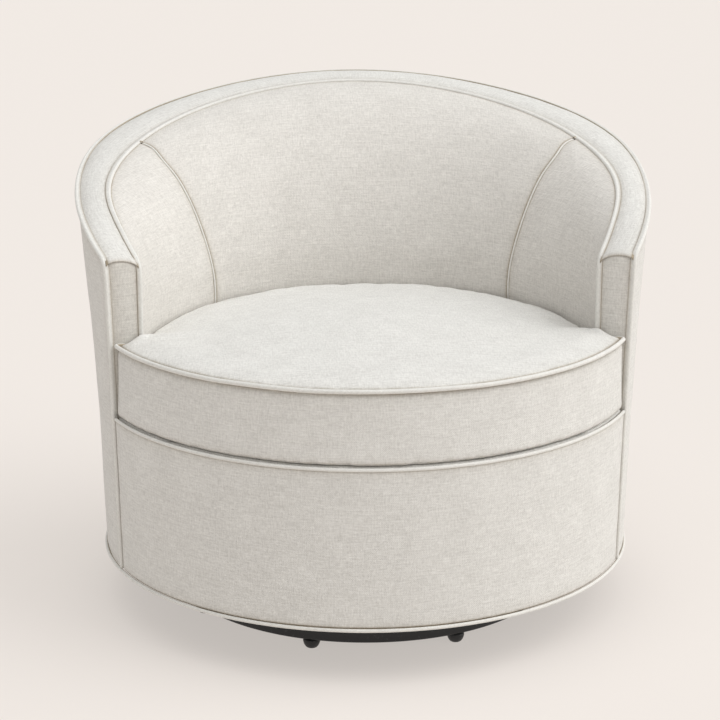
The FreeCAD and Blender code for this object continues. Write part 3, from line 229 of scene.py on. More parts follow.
def cloth_shell(name, points, thick, sign=1, closed=False, uv=None, painted_shade=None):
    """A sheet of cloth with a thickness: its face, its back and its cut edges."""
    nu, nv = points.shape[:2]
    n = normals(points, closed, sign)
    back = points - n * thick
    if uv is None:
        u, v = lengths(points)
        mid = u[nu // 2 : nu // 2 + 1]
        uv = np.stack([u - mid, v, np.zeros_like(u)], -1)
    verts = np.concatenate([points.reshape(-1, 3), back.reshape(-1, 3)])
    cloth = np.concatenate([uv.reshape(-1, 3)] * 2)
    if painted_shade is not None:
        painted_shade = np.concatenate([np.broadcast_to(painted_shade, points.shape[:2]).ravel()] * 2)
    i = np.arange(nu * nv).reshape(nu, nv)
    a = i if closed else i[:-1]
    b = np.roll(i, -1, 0) if closed else i[1:]
    quads = np.stack([a[:, :-1], b[:, :-1], b[:, 1:], a[:, 1:]], -1).reshape(-1, 4)
    if sign < 0:
        quads = quads[:, ::-1]
    off = nu * nv
    faces = [quads, quads[:, ::-1] + off]
    for line in (i[:, 0], i[:, -1]) if closed else (i[:, 0], i[:, -1], i[0], i[-1]):
        nxt = np.roll(line, -1) if closed else line[1:]
        cur = line if closed else line[:-1]
        faces.append(np.stack([cur, nxt, nxt + off, cur + off], -1))
    return make_object(name, verts, np.concatenate(faces), cloth, painted_shade)


def cord_profile(radius, lip, steps=28):
    """Outline of a covered cord in mm, (across, out): a round cord, and beside it the narrow sewn flange."""
    out = []
    for k in range(steps):
        t = 2 * math.pi * k / steps
        d = np.array([math.cos(t), math.sin(t)])
        reach = radius
        if lip:
            side, at, low, size = lip
            c = np.array([side * at, -low])
            along = c @ d
            gap = c @ c - along * along
            if along > 0 and gap < size * size:
                reach = max(reach, along + math.sqrt(size * size - gap))
        out.append(d * reach)
    return np.array(out)


def cord(name, line, outward, radius, lip=None, closed=False, seed=1, taper=True):
    """A fabric-covered cord along a line of points in metres. outward points away from the seam at each point."""
    n = len(line)
    if closed:
        t = np.roll(line, -1, 0) - np.roll(line, 1, 0)
    else:
        t = np.gradient(line, axis=0)
    t /= np.linalg.norm(t, axis=1, keepdims=True)
    b = np.cross(t, outward)
    b /= np.linalg.norm(b, axis=1, keepdims=True)
    o = np.cross(b, t)
    prof = cord_profile(radius, lip)
    m = len(prof)
    s = np.concatenate([[0], np.cumsum(np.linalg.norm(np.diff(line, axis=0), axis=1))])
    ss = np.repeat(s[:, None], m, 1)
    ang = np.repeat(np.arange(m)[None] / m, n, 0)
    swell = 1 + 0.022 * value_noise(ss / 0.045, ang * 0, seed) + 0.03 * value_noise(ss / 0.0065 + 3.1 * ang, ang * 5, seed + 1)
    if closed:
        fade = smooth(np.minimum(ss, s[-1] - ss) / 0.03)
        swell = 1 + (swell - 1) * fade
    elif taper:
        end = np.minimum(ss, s[-1] - ss) / 0.003
        swell = swell * (0.45 + 0.55 * np.sqrt(np.clip(1 - (1 - np.clip(end, 0, 1)) ** 2, 0, 1)))
    pts = line[:, None] + (b[:, None] * prof[None, :, :1] + o[:, None] * prof[None, :, 1:]) * 0.001 * swell[..., None]
    verts = pts.reshape(-1, 3)
    i = np.arange(n * m).reshape(n, m)
    a = i if closed else i[:-1]
    c = np.roll(i, -1, 0) if closed else i[1:]
    faces = np.stack([a, np.roll(a, -1, 1), np.roll(c, -1, 1), c], -1).reshape(-1, 4).tolist()
    if not closed:
        faces += [list(i[0]), list(i[-1][::-1])]
    around = ang * (2 * math.pi * radius * 0.001)
    k = math.sqrt(0.5)
    cloth = np.stack([(ss + around) * k, (around - ss) * k, np.zeros_like(ss)], -1).reshape(-1, 3)
    # painted shade on the half of the cord that turns into its seam
    facing = prof[:, 1] / radius
    painted_shade = np.clip(0.95 * smooth((0.30 - facing) / 0.75), 0, 1)
    painted_shade = np.repeat(painted_shade[None, :], n, 0).ravel()
    return make_object(name, verts, faces, cloth, painted_shade)


def rounded(points, passes, keep_ends=True):
    """A line of points with its corners eased by repeated averaging."""
    q = points.copy()
    for _ in range(passes):
        nxt = q.copy()
        nxt[1:-1] = q[1:-1] * 0.5 + (q[:-2] + q[2:]) * 0.25
        q = nxt
    return q


def resample(line, step):
    s = np.concatenate([[0], np.cumsum(np.linalg.norm(np.diff(line, axis=0), axis=1))])
    k = max(2, int(round(s[-1] / step)))
    t = np.linspace(0, s[-1], k + 1)
    return np.stack([np.interp(t, s, line[:, j]) for j in range(3)], -1)


def lathe(name, profile, segments=160, centre=(0.0, 0.0)):
    """A closed outline of (radius, height) in mm turned about the swivel axis or another upright line."""
    prof = np.array(profile, float)
    a = np.linspace(0, 2 * math.pi, segments, endpoint=False)
    x = centre[0] + np.outer(np.sin(a), prof[:, 0])
    y = centre[1] - np.outer(np.cos(a), prof[:, 0]) + AXIS_Y
    z = np.repeat(prof[None, :, 1], segments, 0)
    verts = (np.stack([x, y, z], -1) * 0.001).reshape(-1, 3)
    m = len(prof)
    i = np.arange(segments * m).reshape(segments, m)
    b = np.roll(i, -1, 0)
    faces = np.stack([i, np.roll(i, -1, 1), np.roll(b, -1, 1), b], -1).reshape(-1, 4)
    return verts, faces


def rounded_rect(x0, x1, z0, z1, r, steps=5):
    pts = []
    for cx, cz, start in ((x1 - r, z0 + r, -90), (x1 - r, z1 - r, 0), (x0 + r, z1 - r, 90), (x0 + r, z0 + r, 180)):
        for k in range(steps + 1):
            t = math.radians(start + 90.0 * k / steps)
            pts.append((cx + r * math.cos(t), cz + r * math.sin(t)))
    return pts


# ---------------------------------------------------------------- materials


class Nodes:
    """Short ways to build a shader."""

    def __init__(self, name):
        self.mat = bpy.data.materials.new(name)
        self.mat.use_nodes = True
        self.tree = self.mat.node_tree
        self.tree.nodes.clear()
        self.out = self.tree.nodes.new("ShaderNodeOutputMaterial")
        self.bsdf = self.tree.nodes.new("ShaderNodeBsdfPrincipled")
        self.tree.links.new(self.bsdf.outputs[0], self.out.inputs[0])

    def new(self, kind, **values):
        n = self.tree.nodes.new(kind)
        for k, v in values.items():
            setattr(n, k, v)
        return n

    def link(self, a, b):
        self.tree.links.new(a, b)

    def math(self, op, a, b=None, clamp=False):
        n = self.new("ShaderNodeMath", operation=op, use_clamp=clamp)
        for i, x in enumerate((a, b)):
            if x is None:
                continue
            if isinstance(x, (int, float)):
                n.inputs[i].default_value = x
            else:
                self.link(x, n.inputs[i])
        return n.outputs[0]

    def scaled(self, vector, sx, sy, sz, shift=(0, 0, 0)):
        n = self.new("ShaderNodeMapping")
        n.inputs["Scale"].default_value = (sx, sy, sz)
        n.inputs["Location"].default_value = shift
        self.link(vector, n.inputs["Vector"])
        return n.outputs[0]

    def noise(self, vector, scale=1.0, detail=2.0, rough=0.5, distortion=0.0):
        n = self.new("ShaderNodeTexNoise")
        n.inputs["Scale"].default_value = scale
        n.inputs["Detail"].default_value = detail
        n.inputs["Roughness"].default_value = rough
        n.inputs["Distortion"].default_value = distortion
        self.link(vector, n.inputs["Vector"])
        return n.outputs[0]

    def ramp(self, factor, stops):
        n = self.new("ShaderNodeValToRGB")
        e = n.color_ramp.elements
        while len(e) < len(stops):
            e.new(0.5)
        for el, (pos, col) in zip(e, stops):
            el.position = pos
            el.color = (*col, 1) if len(col) == 3 else col
        self.link(factor, n.inputs[0])
        return n.outputs[0]

    def bump(self, height, strength, distance, normal=None):
        n = self.new("ShaderNodeBump")
        n.inputs["Strength"].default_value = strength
        n.inputs["Distance"].default_value = distance
        self.link(height, n.inputs["Height"])
        if normal is not None:
            self.link(normal, n.inputs["Normal"])
        return n.outputs[0]

    def set(self, **values):
        for k, v in values.items():
            self.bsdf.inputs[k.replace("_", " ")].default_value = v

    def object_vector(self):
        return self.new("ShaderNodeTexCoord").outputs["Object"]


def linen(name, dark, light, weave=1.3, strength=0.55, streak=1.0):
    """Plain-woven linen: threads of uneven thickness both ways, with slubs and faint mottling.

    It is painted darker and warmer by a per-point attribute where it runs down into a seam or lies in shade: painted
    shade."""
    s = Nodes(name)
    att = s.new("ShaderNodeAttribute", attribute_name="cloth")
    vec = att.outputs["Vector"]
    wob = s.noise(s.scaled(vec, 70, 70, 70), 1.0, 1.0)
    sep = s.new("ShaderNodeSeparateXYZ")
    s.link(vec, sep.inputs[0])
    shift = s.math("MULTIPLY", s.math("SUBTRACT", wob, 0.5), 0.0026)
    u = s.math("ADD", sep.outputs[0], shift)
    v = s.math("ADD", sep.outputs[1], shift)
    k = math.pi / (weave * 0.001)
    su, sv = s.math("SINE", s.math("MULTIPLY", u, k)), s.math("SINE", s.math("MULTIPLY", v, k))
    cross = s.math("MULTIPLY", su, sv)
    long_u = s.noise(s.scaled(vec, 75, 470, 1), 1.0, 2.0, 0.6)
    long_v = s.noise(s.scaled(vec, 470, 75, 1, (7.3, 2.1, 0)), 1.0, 2.0, 0.6)
    slub = s.noise(s.scaled(vec, 14, 260, 1, (1.3, 5.1, 0)), 1.0, 1.0)
    grain = s.noise(s.scaled(vec, 330, 330, 1), 1.0, 2.0, 0.6)
    mottle = s.noise(s.scaled(vec, 22, 22, 1), 1.0, 3.0)
    half = s.math("SUBTRACT", long_u, 0.5)
    f = s.math("ADD", s.math("MULTIPLY", half, 1.25 * streak), s.math("MULTIPLY", s.math("SUBTRACT", long_v, 0.5), 1.25 * streak))
    f = s.math("ADD", f, s.math("MULTIPLY", s.math("SUBTRACT", slub, 0.5), 0.5 * streak))
    f = s.math("ADD", f, s.math("MULTIPLY", cross, 0.07))
    f = s.math("ADD", f, s.math("MULTIPLY", s.math("SUBTRACT", mottle, 0.5), 0.5))
    f = s.math("ADD", f, s.math("MULTIPLY", s.math("SUBTRACT", grain, 0.5), 1.05 * streak))
    f = s.math("ADD", f, 0.5, clamp=True)
    tone = s.ramp(f, [(0.0, dark), (0.5, tuple((a + b) / 2 for a, b in zip(dark, light))), (1.0, light)])
    shade_amount = s.new("ShaderNodeAttribute", attribute_name="painted_shade")
    mix = s.new("ShaderNodeMix", data_type="RGBA", blend_type="MULTIPLY")
    s.link(shade_amount.outputs["Fac"], mix.inputs[0])
    s.link(tone, mix.inputs[6])
    # painted shade: the warm dark colour multiplied in where the attribute is high
    mix.inputs[7].default_value = (0.52, 0.445, 0.345, 1)
    s.link(mix.outputs[2], s.bsdf.inputs["Base Color"])
    hgt = s.math("ADD", s.math("MULTIPLY", cross, 0.5), s.math("MULTIPLY", s.math("ADD", long_u, long_v), 1.0))
    hgt = s.math("ADD", hgt, s.math("MULTIPLY", grain, 0.8))
    s.link(s.bump(hgt, strength, 0.00055), s.bsdf.inputs["Normal"])
    s.link(s.ramp(f, [(0.0, (0.95,) * 3), (1.0, (0.86,) * 3)]), s.bsdf.inputs["Roughness"])
    s.set(Sheen_Weight=0.15, Sheen_Roughness=0.45, Specular_IOR_Level=0.2)
    s.bsdf.inputs["Sheen Tint"].default_value = (1.0, 0.99, 0.975, 1)
    return s.mat


def painted_steel():
    s = Nodes("black_painted_steel")
    vec = s.object_vector()
    peel = s.noise(vec, 420, 2.0)
    dust = s.noise(vec, 30, 4.0)
    wear = s.noise(vec, 140, 5.0, 0.65)
    f = s.math("MULTIPLY", dust, s.math("GREATER_THAN", wear, 0.62))
    s.link(s.ramp(f, [(0.0, (0.0135, 0.0135, 0.0145)), (1.0, (0.05, 0.05, 0.052))]), s.bsdf.inputs["Base Color"])
    s.link(s.ramp(dust, [(0.3, (0.34,) * 3), (0.75, (0.52,) * 3)]), s.bsdf.inputs["Roughness"])
    s.link(s.bump(peel, 0.25, 0.0003), s.bsdf.inputs["Normal"])
    return s.mat


def zinc_steel():
    s = Nodes("zinc_plated_steel")
    vec = s.object_vector()
    spangle = s.noise(vec, 260, 3.0, 0.6)
    streak = s.noise(s.scaled(vec, 60, 60, 900), 1.0, 2.0)
    f = s.math("MULTIPLY", s.math("ADD", spangle, streak), 0.5)
    s.link(s.ramp(f, [(0.3, (0.47, 0.47, 0.48)), (0.7, (0.66, 0.66, 0.65))]), s.bsdf.inputs["Base Color"])
    s.link(s.ramp(spangle, [(0.2, (0.3,) * 3), (0.8, (0.46,) * 3)]), s.bsdf.inputs["Roughness"])
    s.link(s.bump(f, 0.15, 0.0002), s.bsdf.inputs["Normal"])
    s.set(Metallic=1.0)
    return s.mat


def bright_steel():
    s = Nodes("bright_spring_steel")
    vec = s.object_vector()
    f = s.noise(vec, 320, 2.0)
    s.link(s.ramp(f, [(0.3, (0.5, 0.5, 0.52)), (0.7, (0.66, 0.66, 0.68))]), s.bsdf.inputs["Base Color"])
    s.link(s.ramp(f, [(0.3, (0.18,) * 3), (0.7, (0.3,) * 3)]), s.bsdf.inputs["Roughness"])
    s.set(Metallic=1.0)
    return s.mat


def moulded(name, dark, light, rough):
    s = Nodes(name)
    vec = s.object_vector()
    grain = s.noise(vec, 1100, 1.0)
    tone = s.noise(vec, 45, 3.0)
    s.link(s.ramp(tone, [(0.3, dark), (0.7, light)]), s.bsdf.inputs["Base Color"])
    s.link(s.ramp(grain, [(0.2, (rough,) * 3), (0.8, (rough + 0.12,) * 3)]), s.bsdf.inputs["Roughness"])
    s.link(s.bump(grain, 0.3, 0.00015), s.bsdf.inputs["Normal"])
    return s.mat


def wood(name, dark, light, across=(26, 26, 260)):
    s = Nodes(name)
    vec = s.object_vector()
    warp = s.noise(s.scaled(vec, 3, 3, 12), 1.0, 2.0)
    ring = s.noise(s.scaled(vec, *across), 1.0, 4.0, 0.6, 0.4)
    pore = s.noise(s.scaled(vec, 90, 90, 1300), 1.0, 2.0)
    f = s.math("ADD", s.math("MULTIPLY", ring, 0.7), s.math("MULTIPLY", s.math("ADD", pore, warp), 0.15))
    s.link(s.ramp(f, [(0.32, dark), (0.52, tuple((a + b) / 2 for a, b in zip(dark, light))), (0.7, light)]), s.bsdf.inputs["Base Color"])
    s.link(s.ramp(pore, [(0.2, (0.72,) * 3), (0.8, (0.56,) * 3)]), s.bsdf.inputs["Roughness"])
    s.link(s.bump(f, 0.3, 0.0004), s.bsdf.inputs["Normal"])
    return s.mat


def fleece(name, dark, light, scale, rough=0.95, depth=0.0006):
    """Foam cells, batting or non-woven lining, by the scale of the speckle."""
    s = Nodes(name)
    vec = s.object_vector()
    v = s.new("ShaderNodeTexVoronoi")
    v.inputs["Scale"].default_value = scale
    s.link(vec, v.inputs["Vector"])
    cell = v.outputs["Distance"]
    tone = s.noise(vec, 22, 3.0)
    f = s.math("ADD", s.math("MULTIPLY", cell, 0.6), s.math("MULTIPLY", tone, 0.5), clamp=True)
    s.link(s.ramp(f, [(0.15, dark), (0.75, light)]), s.bsdf.inputs["Base Color"])
    s.link(s.bump(cell, 0.5, depth), s.bsdf.inputs["Normal"])
    s.link(s.ramp(tone, [(0.0, (rough - 0.05,) * 3), (1.0, (rough,) * 3)]), s.bsdf.inputs["Roughness"])
    s.set(Specular_IOR_Level=0.15)
    return s.mat


LINEN = linen("cream_linen_weave", (0.625, 0.612, 0.58), (0.835, 0.825, 0.79))
# painted shade: the same linen painted darker and warmer, for the inside back and arms that lie in shade
INSIDE_SHADED = linen("cream_linen_inside_shaded", (0.612, 0.588, 0.548), (0.818, 0.792, 0.747))
PIPING = linen("cream_linen_piping", (0.67, 0.657, 0.622), (0.85, 0.84, 0.80), 1.2, 0.45, 0.6)
DECK = linen("deck_lining_cotton", (0.70, 0.66, 0.585), (0.80, 0.765, 0.69), 0.8, 0.4, 0.5)
TAPE = linen("zip_tape_twill", (0.66, 0.62, 0.54), (0.76, 0.72, 0.64), 0.7, 0.5, 0.4)
FINISH = {
    "black_steel": painted_steel(),
    "zinc_steel": zinc_steel(),
    "bright_steel": bright_steel(),
    "black_plastic": moulded("black_moulded_plastic", (0.012, 0.012, 0.013), (0.024, 0.024, 0.025), 0.42),
    "nylon": moulded("natural_nylon", (0.72, 0.69, 0.61), (0.8, 0.77, 0.7), 0.35),
    "frame_wood": wood("birch_plywood", (0.45, 0.31, 0.18), (0.72, 0.56, 0.37)),
    "bent_board": wood("bent_fibreboard", (0.27, 0.18, 0.11), (0.45, 0.33, 0.22), (120, 120, 120)),
    "lining": fleece("black_nonwoven_lining", (0.012, 0.012, 0.013), (0.045, 0.045, 0.047), 900),
    "foam": fleece("polyurethane_foam", (0.62, 0.58, 0.44), (0.82, 0.79, 0.66), 620),
    "cream_linen": LINEN,
    "cream_piping": PIPING,
    "zip_tape": TAPE,
}
slot_of = {}
for part in frame["record"]["subparts"]:
    slot_of[part["node"]] = part.get("material_slot")
for name, o in nodes.items():
    mat = FINISH.get(slot_of.get(name), FINISH["foam"])
    if not o.material_slots:
        o.data.materials.append(mat)
    for ms in o.material_slots:
        ms.material = mat


def finish(o, mat, body, slot, *replaced):
    o.data.materials.clear()
    o.data.materials.append(mat)
    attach(o, body)
    if replaced:
        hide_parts(*replaced)
    return o


# ---------------------------------------------------------------- drum front


def pucker(s, d, seed, amp, pitch=15.0, reach=13.0):
    """Small gathers that run away from a seam: s along it and d from it, in mm."""
    return amp * value_noise(s / pitch, d / 60.0 + 9, seed) * np.exp(-np.asarray(d, float) / reach)


def lumps(u, v, seed, amp):
    """The faint unevenness of cloth over batting, u and v in mm."""
    return amp * (0.65 * value_noise(u / 85.0, v / 85.0, seed) + 0.35 * value_noise(u / 34.0, v / 34.0, seed + 1))


def make_drum_front():
    p = eased(-67.86, 67.86, 190, 1.7, 1.7, 9)[:, None]
    z = eased(82.2, 316.4, 46, 9.0, 8.0, 8)[None, :]
    r = drum_r(z) + 0 * p
    along = np.radians(p) * 400.0
    low, high, side = z - 82.2 + 0 * p, 316.4 - z + 0 * p, (67.86 - np.abs(p)) * 400 * math.pi / 180 + 0 * z
    h = -roll(low, 6.0, 3.4) - roll(high, 5.0, 2.6) - roll(side, 5.5, 3.6)
    h = h + 1.1 * np.sin(np.pi * np.clip((z - 84) / 232.0, 0, 1)) ** 0.8 * smooth(side / 50.0)
    h = h + pucker(along + 0 * z, high, 3, 0.30) + pucker(along + 0 * z, low, 5, 0.28) + pucker(z * 1.0 + 0 * p, side, 7, 0.35)
    h = h + lumps(along + 0 * z, z + 0 * p, 11, 0.42) * smooth(np.minimum(np.minimum(low, high), side) / 18.0)
    edge = np.minimum(np.minimum(low - 1.0, high), side)
    # painted shade where the cloth runs into the welts and side seams
    o = cloth_shell("drum_front_linen", grid(p + 0 * z, r + h, z + 0 * p), 0.0016, sign=1, painted_shade=painted_shade_of(edge))
    return finish(o, LINEN, "chair", "cream_linen", "base_front_cover")


make_drum_front()


# ---------------------------------------------------------------- outside of the arms and back

SEAMS_OUT = (131.0, 229.0)


def make_outer_shell():
    lo, hi = 68.72, 360 - 68.72
    p = np.unique(np.concatenate([eased(lo, hi, 250, 1.6, 1.6, 9)] + [s + np.linspace(-1.6, 1.6, 15) for s in SEAMS_OUT]))[:, None]
    v = eased(0.0, 1.0, 100, 0.018, 0.02, 8)[None, :]
    top = rim_zo(p) - 2.6
    z = 82.2 + (top - 82.2) * v
    r = shell_r(p, z)
    a = np.radians(p)
    along = a * 430.0 + 0 * v
    low, high = z - 82.2, top - z
    side = np.minimum(p - lo, hi - p) * math.pi / 180 * 405 + 0 * v
    h = -roll(low, 6.0, 3.4) - roll(high, 5.5, 3.4) - roll(side, 5.5, 3.6)
    for k, s in enumerate(SEAMS_OUT):
        d = (p - s) * math.pi / 180 * r
        h = h - 1.7 * np.exp(-np.abs(d / 1.9) ** 1.4) - 0.7 * np.exp(-np.abs(d / 8.0) ** 2)
        h = h + pucker(z, np.abs(d), 21 + k, 0.38, 13.0, 9.0)
    h = h + pucker(along, high, 13, 0.34) + pucker(along, low, 15, 0.28) + pucker(z, side, 17, 0.35)
    edge = np.minimum(np.minimum(low, high), side)
    h = h + lumps(along, z, 31, 0.5) * smooth(edge / 18.0)
    h = h + 1.2 * np.sin(np.pi * np.clip(v, 0, 1)) ** 0.7 * smooth(side / 60.0)
    # painted shade along the welts and edges, and down the two blind seams
    blind = np.minimum(*[np.abs((p - s) * math.pi / 180 * r) for s in SEAMS_OUT])
    painted_shade = np.maximum(painted_shade_of(np.minimum(edge, low - 1.0)), 0.8 * np.exp(-((blind / 1.3) ** 2)) + 0.2 * np.exp(-blind / 5.0))
    o = cloth_shell("outer_shell_linen", grid(p + 0 * z, r + h, z), 0.0016, sign=1, painted_shade=painted_shade)
    return finish(o, LINEN, "chair", "cream_linen", "outer_back_cover")


make_outer_shell()


# ---------------------------------------------------------------- rim band

CROWN = 6.3
BAND_DROP = 3.2


def make_rim_band():
    # stations along the rim: the band turns down over the arm fronts at both ends
    turn = [(-0.7, BAND_DROP), (-0.25, 2.5), (0.2, 1.7), (0.8, 1.05), (1.6, 0.55), (2.6, 0.25), (3.8, 0.08), (5.4, 0.0)]
    deg = 180 / math.pi / 383.0
    base = ARM_FRONT + 0.05
    ends = [(base + t * deg, d) for t, d in turn]
    mid = np.linspace(base + 8.0 * deg, 360 - base - 8.0 * deg, 300)
    p = np.array([e[0] for e in ends] + list(mid) + [360 - e[0] for e in ends[::-1]])[:, None]
    drop = np.array([e[1] for e in ends] + [0.0] * len(mid) + [e[1] for e in ends[::-1]])[:, None]
    w = eased(0.0, 1.0, 20, 0.07, 0.07, 6)[None, :]
    ri, ro, zi, zo = rim_ri(p) + 1.6, rim_ro(p) - 1.6, rim_zi(p), rim_zo(p)
    wd = np.hypot(ro - ri, zo - zi)
    r = ri + (ro - ri) * w
    z = zi + (zo - zi) * w
    d_in, d_out = w * wd, (1 - w) * wd
    h = CROWN * (1 - np.abs(2 * w - 1) ** 2.3) + 0 * p
    h = h - roll(d_in, 4.2, 2.4) - roll(d_out, 4.2, 2.4)
    along = np.radians(p) * 420.0 + 0 * w
    h = h + pucker(along, d_in, 41, 0.35, 13.0, 9.0) + pucker(along, d_out, 43, 0.35, 13.0, 9.0) + lumps(along, r, 45, 0.45)
    nr, nz = -(zo - zi) / wd, (ro - ri) / wd
    r, z = r + nr * h, z + nz * h - drop
    u = np.concatenate([[0], np.cumsum(np.radians(np.diff(p[:, 0])) * 420)])[:, None] + 0 * w
    uv = np.stack([(u - u.mean()) * 0.001, (w * wd) * 0.001, 0 * u], -1)
    front = np.minimum(u, u[-1:] - u)
    # painted shade where the band runs into the welts and, at the front ends, where it turns down
    painted_shade = painted_shade_of(np.minimum(np.minimum(d_in, d_out) - 1.6, front + 1.6))
    o = cloth_shell("rim_band_linen", grid(p + 0 * w, r, z), 0.0016, sign=-1, uv=uv, painted_shade=painted_shade)
    return finish(o, LINEN, "chair", "cream_linen", "rim_band_cover")


make_rim_band()


# ---------------------------------------------------------------- inside back and arms

_seam = spline([0.0, 0.2, 0.4, 0.55, 0.72, 0.86, 0.95, 1.0], [112.7, 113.5, 113.8, 114.3, 115.4, 116.6, 118.0, 119.4])


def seam_phi(t):
    return np.where(t <= 0, 112.7, _seam(np.clip(t, 0, 1)))


def inside_line(p, s):
    """Height, radius and lean of the inside surface, by angle and a station s: below 0 the upright part down to the seat frame, then 0 to 1 up to the rim."""
    th = np.clip(s, 0, 1) * math.pi / 2
    t, k = np.sin(th) ** (2 / 1.8), 1 - np.cos(th) ** (2 / 1.8)
    z = np.where(s < 0, 425.0 + s * 124.0, 425.0 + (rim_zi(p) - 425.0) * t)
    r = np.where(s < 0, seat_rc(p), seat_rc(p) + (rim_ri(p) - seat_rc(p)) * k)
    return z, r, t


STATIONS = np.concatenate([np.linspace(-1, 0, 14, endpoint=False), np.linspace(0, 0.9, 62, endpoint=False), 1 - 0.1 * (1 - np.linspace(0, 1, 16)) ** 1.0])


def inside_panel(name, replaced, lo_fn, hi_fn, count, seed, front_edge=None):
    """A panel between two seam lines, each an angle as a function of the lean t."""
    s = STATIONS[None, :]
    t0 = inside_line(np.array([[113.0]]), s)[2]
    lo, hi = lo_fn(t0), hi_fn(t0)
    q = eased(0.0, 1.0, count, 0.03, 0.03, 8)[:, None]
    p = lo + (hi - lo) * q
    z, r, t = inside_line(p, s)
    pts = grid(p, r, z)
    n = normals(pts, sign=-1)
    if (n[count // 2, 10, :2] @ pts[count // 2, 10, :2]) > 0:
        n = -n
    gap = np.concatenate([np.zeros((1, pts.shape[1])), np.cumsum(np.linalg.norm(np.diff(pts, axis=0), axis=-1), 0)], 0) * 1000
    d_lo, d_hi = gap, gap[-1:] - gap
    up = np.concatenate([np.zeros((pts.shape[0], 1)), np.cumsum(np.linalg.norm(np.diff(pts, axis=1), axis=-1), 1)], 1) * 1000
    d_top = up[:, -1:] - up
    turned = roll(d_top, 6.0, 2.6)
    h = np.zeros_like(z)
    for d, edge in ((d_lo, "lo"), (d_hi, "hi")):
        if front_edge == edge:
            turned = np.maximum(turned, roll(d, 6.0, 3.0))
            h += pucker(up, d, seed + 3, 0.3)
        else:
            turned = np.maximum(turned, roll(d, 7.5, 2.8))
            h += pucker(up, d, seed + 4, 0.42, 14.0, 12.0)
    h -= turned
    h += pucker(gap, d_top, seed + 5, 0.4, 15.0, 12.0)
    edge = np.minimum(np.minimum(d_lo, d_hi), d_top)
    # painted shade along the side seams and under the inner welt at the top
    painted_shade = np.maximum(painted_shade_of(np.minimum(d_lo, d_hi), 1.0 if front_edge is None else 0.6), painted_shade_of(d_top, 2.6))
    open_up = smooth((z - 445.0) / 50.0)
    h += 2.6 * smooth(edge / 60.0) * open_up
    h += lumps(gap, up, seed, 0.55) * smooth(edge / 18.0) * open_up
    pts = pts + n * h[..., None] * 0.001
    u, v = gap * 0.001, up * 0.001
    uv = np.stack([u - u[-1:] / 2, v - v[:, 13:14], 0 * u], -1)
    o = cloth_shell(name, pts, 0.0016, sign=-1, uv=uv, painted_shade=painted_shade)
    return finish(o, INSIDE_SHADED, "chair", "cream_linen", replaced)


FRONT_IN = 68.95
HALF_SEAM = 0.10
inside_panel("inside_back_linen", "inside_back_cover", lambda t: seam_phi(t) + HALF_SEAM, lambda t: 360 - seam_phi(t) - HALF_SEAM, 150, 61)
inside_panel("inside_arm_right_linen", "inside_arm_cover_right", lambda t: FRONT_IN + 0 * t, lambda t: seam_phi(t) - HALF_SEAM, 64, 71, "lo")
inside_panel("inside_arm_left_linen", "inside_arm_cover_left", lambda t: 360 - seam_phi(t) + HALF_SEAM, lambda t: 360 - FRONT_IN + 0 * t, 64, 81, "hi")


def inside_seam_cord(side):
    s = np.linspace(-0.95, 0.998, 220)
    t = inside_line(np.full_like(s, 113.0), s)[2]
    p = seam_phi(t)
    if side < 0:
        p = 360 - p
    z, r, _ = inside_line(p, s)
    line = grid(p, r, z)
    d = np.gradient(line, axis=0)
    d /= np.linalg.norm(d, axis=1, keepdims=True)
    a = np.radians(p)
    around = np.stack([np.cos(a), np.sin(a), 0 * a], -1)
    out = np.cross(d, around)
    flip = np.sign((out * (np.array([0, AXIS_Y * 0.001, 0.62]) - line)).sum(1))
    out *= flip[:, None]
    line = line - out * 0.0013
    o = cord("inside_seam_cord_%s" % ("right" if side > 0 else "left"), line, out, 1.75, None, seed=91 + side)
    return finish(o, PIPING, "chair", "cream_piping")


inside_seam_cord(1)
inside_seam_cord(-1)


# ---------------------------------------------------------------- arm fronts


def make_arm_front(side):
    """The padded upright face at the front of an arm, between the two welts: crowned across, with an arched top seam."""
    w = eased(0.0, 1.0, 20, 0.12, 0.12, 6)[:, None]
    v = eased(0.0, 1.0, 74, 0.0, 0.03, 8)[None, :]
    pf = ARM_FRONT + 0.3
    ri, ro, zi, zo = (float(f(pf)) for f in (rim_ri, rim_ro, rim_zi, rim_zo))
    wd = math.hypot(ro - ri, zo - zi)
    arch = CROWN * (1 - np.abs(2 * w - 1) ** 2.3) * (ro - ri) / wd
    top = zi + (zo - zi) * w + arch - BAND_DROP - 0.5
    z = 299.0 + (top - 299.0) * v
    r0, r1 = ri + 1.4, shell_r(pf, z) - 1.4
    r = r0 + (r1 - r0) * w
    wide = r1 - r0
    d_in, d_out, d_top = w * wide, (1 - w) * wide, top - z
    h = 2.0 - 3.8 * np.abs(2 * w - 1) ** 2.0 - roll(d_in, 4.5, 2.4) - roll(d_out, 5.0, 3.0)
    h = h - roll(d_top, 9.0, 3.4) - 1.2 * np.exp(-d_top / 16.0)
    h = h + pucker(z, d_in, 101 + side, 0.25, 14.0, 8.0) + pucker(z, d_out, 103 + side, 0.25, 14.0, 8.0) + 0.3 * value_noise(z / 60.0, r / 60.0, 105 + side)
    p = ARM_FRONT + 0.02 - h / 383.0 * 180 / math.pi
    if side < 0:
        p = 360 - p
    uv = np.stack([(r - r0) * 0.001 + 0 * z, (z - 299) * 0.001 + 0 * r, 0 * z + 0 * r], -1)
    # painted shade in the seams, and painted shade over the whole panel, heavier on the left arm
    painted_shade = painted_shade_of(np.minimum(np.minimum(d_in, d_out) - 1.9, d_top + 1.2), 0.0, 0.2 if side < 0 else 0.08)
    tag = "right" if side > 0 else "left"
    o = cloth_shell("arm_front_%s_linen" % tag, grid(p, r, z + 0 * w), 0.0014, sign=side, uv=uv, painted_shade=painted_shade)
    return finish(o, LINEN, "chair", "cream_linen", "arm_front_cover_" + tag)


make_arm_front(1)
make_arm_front(-1)


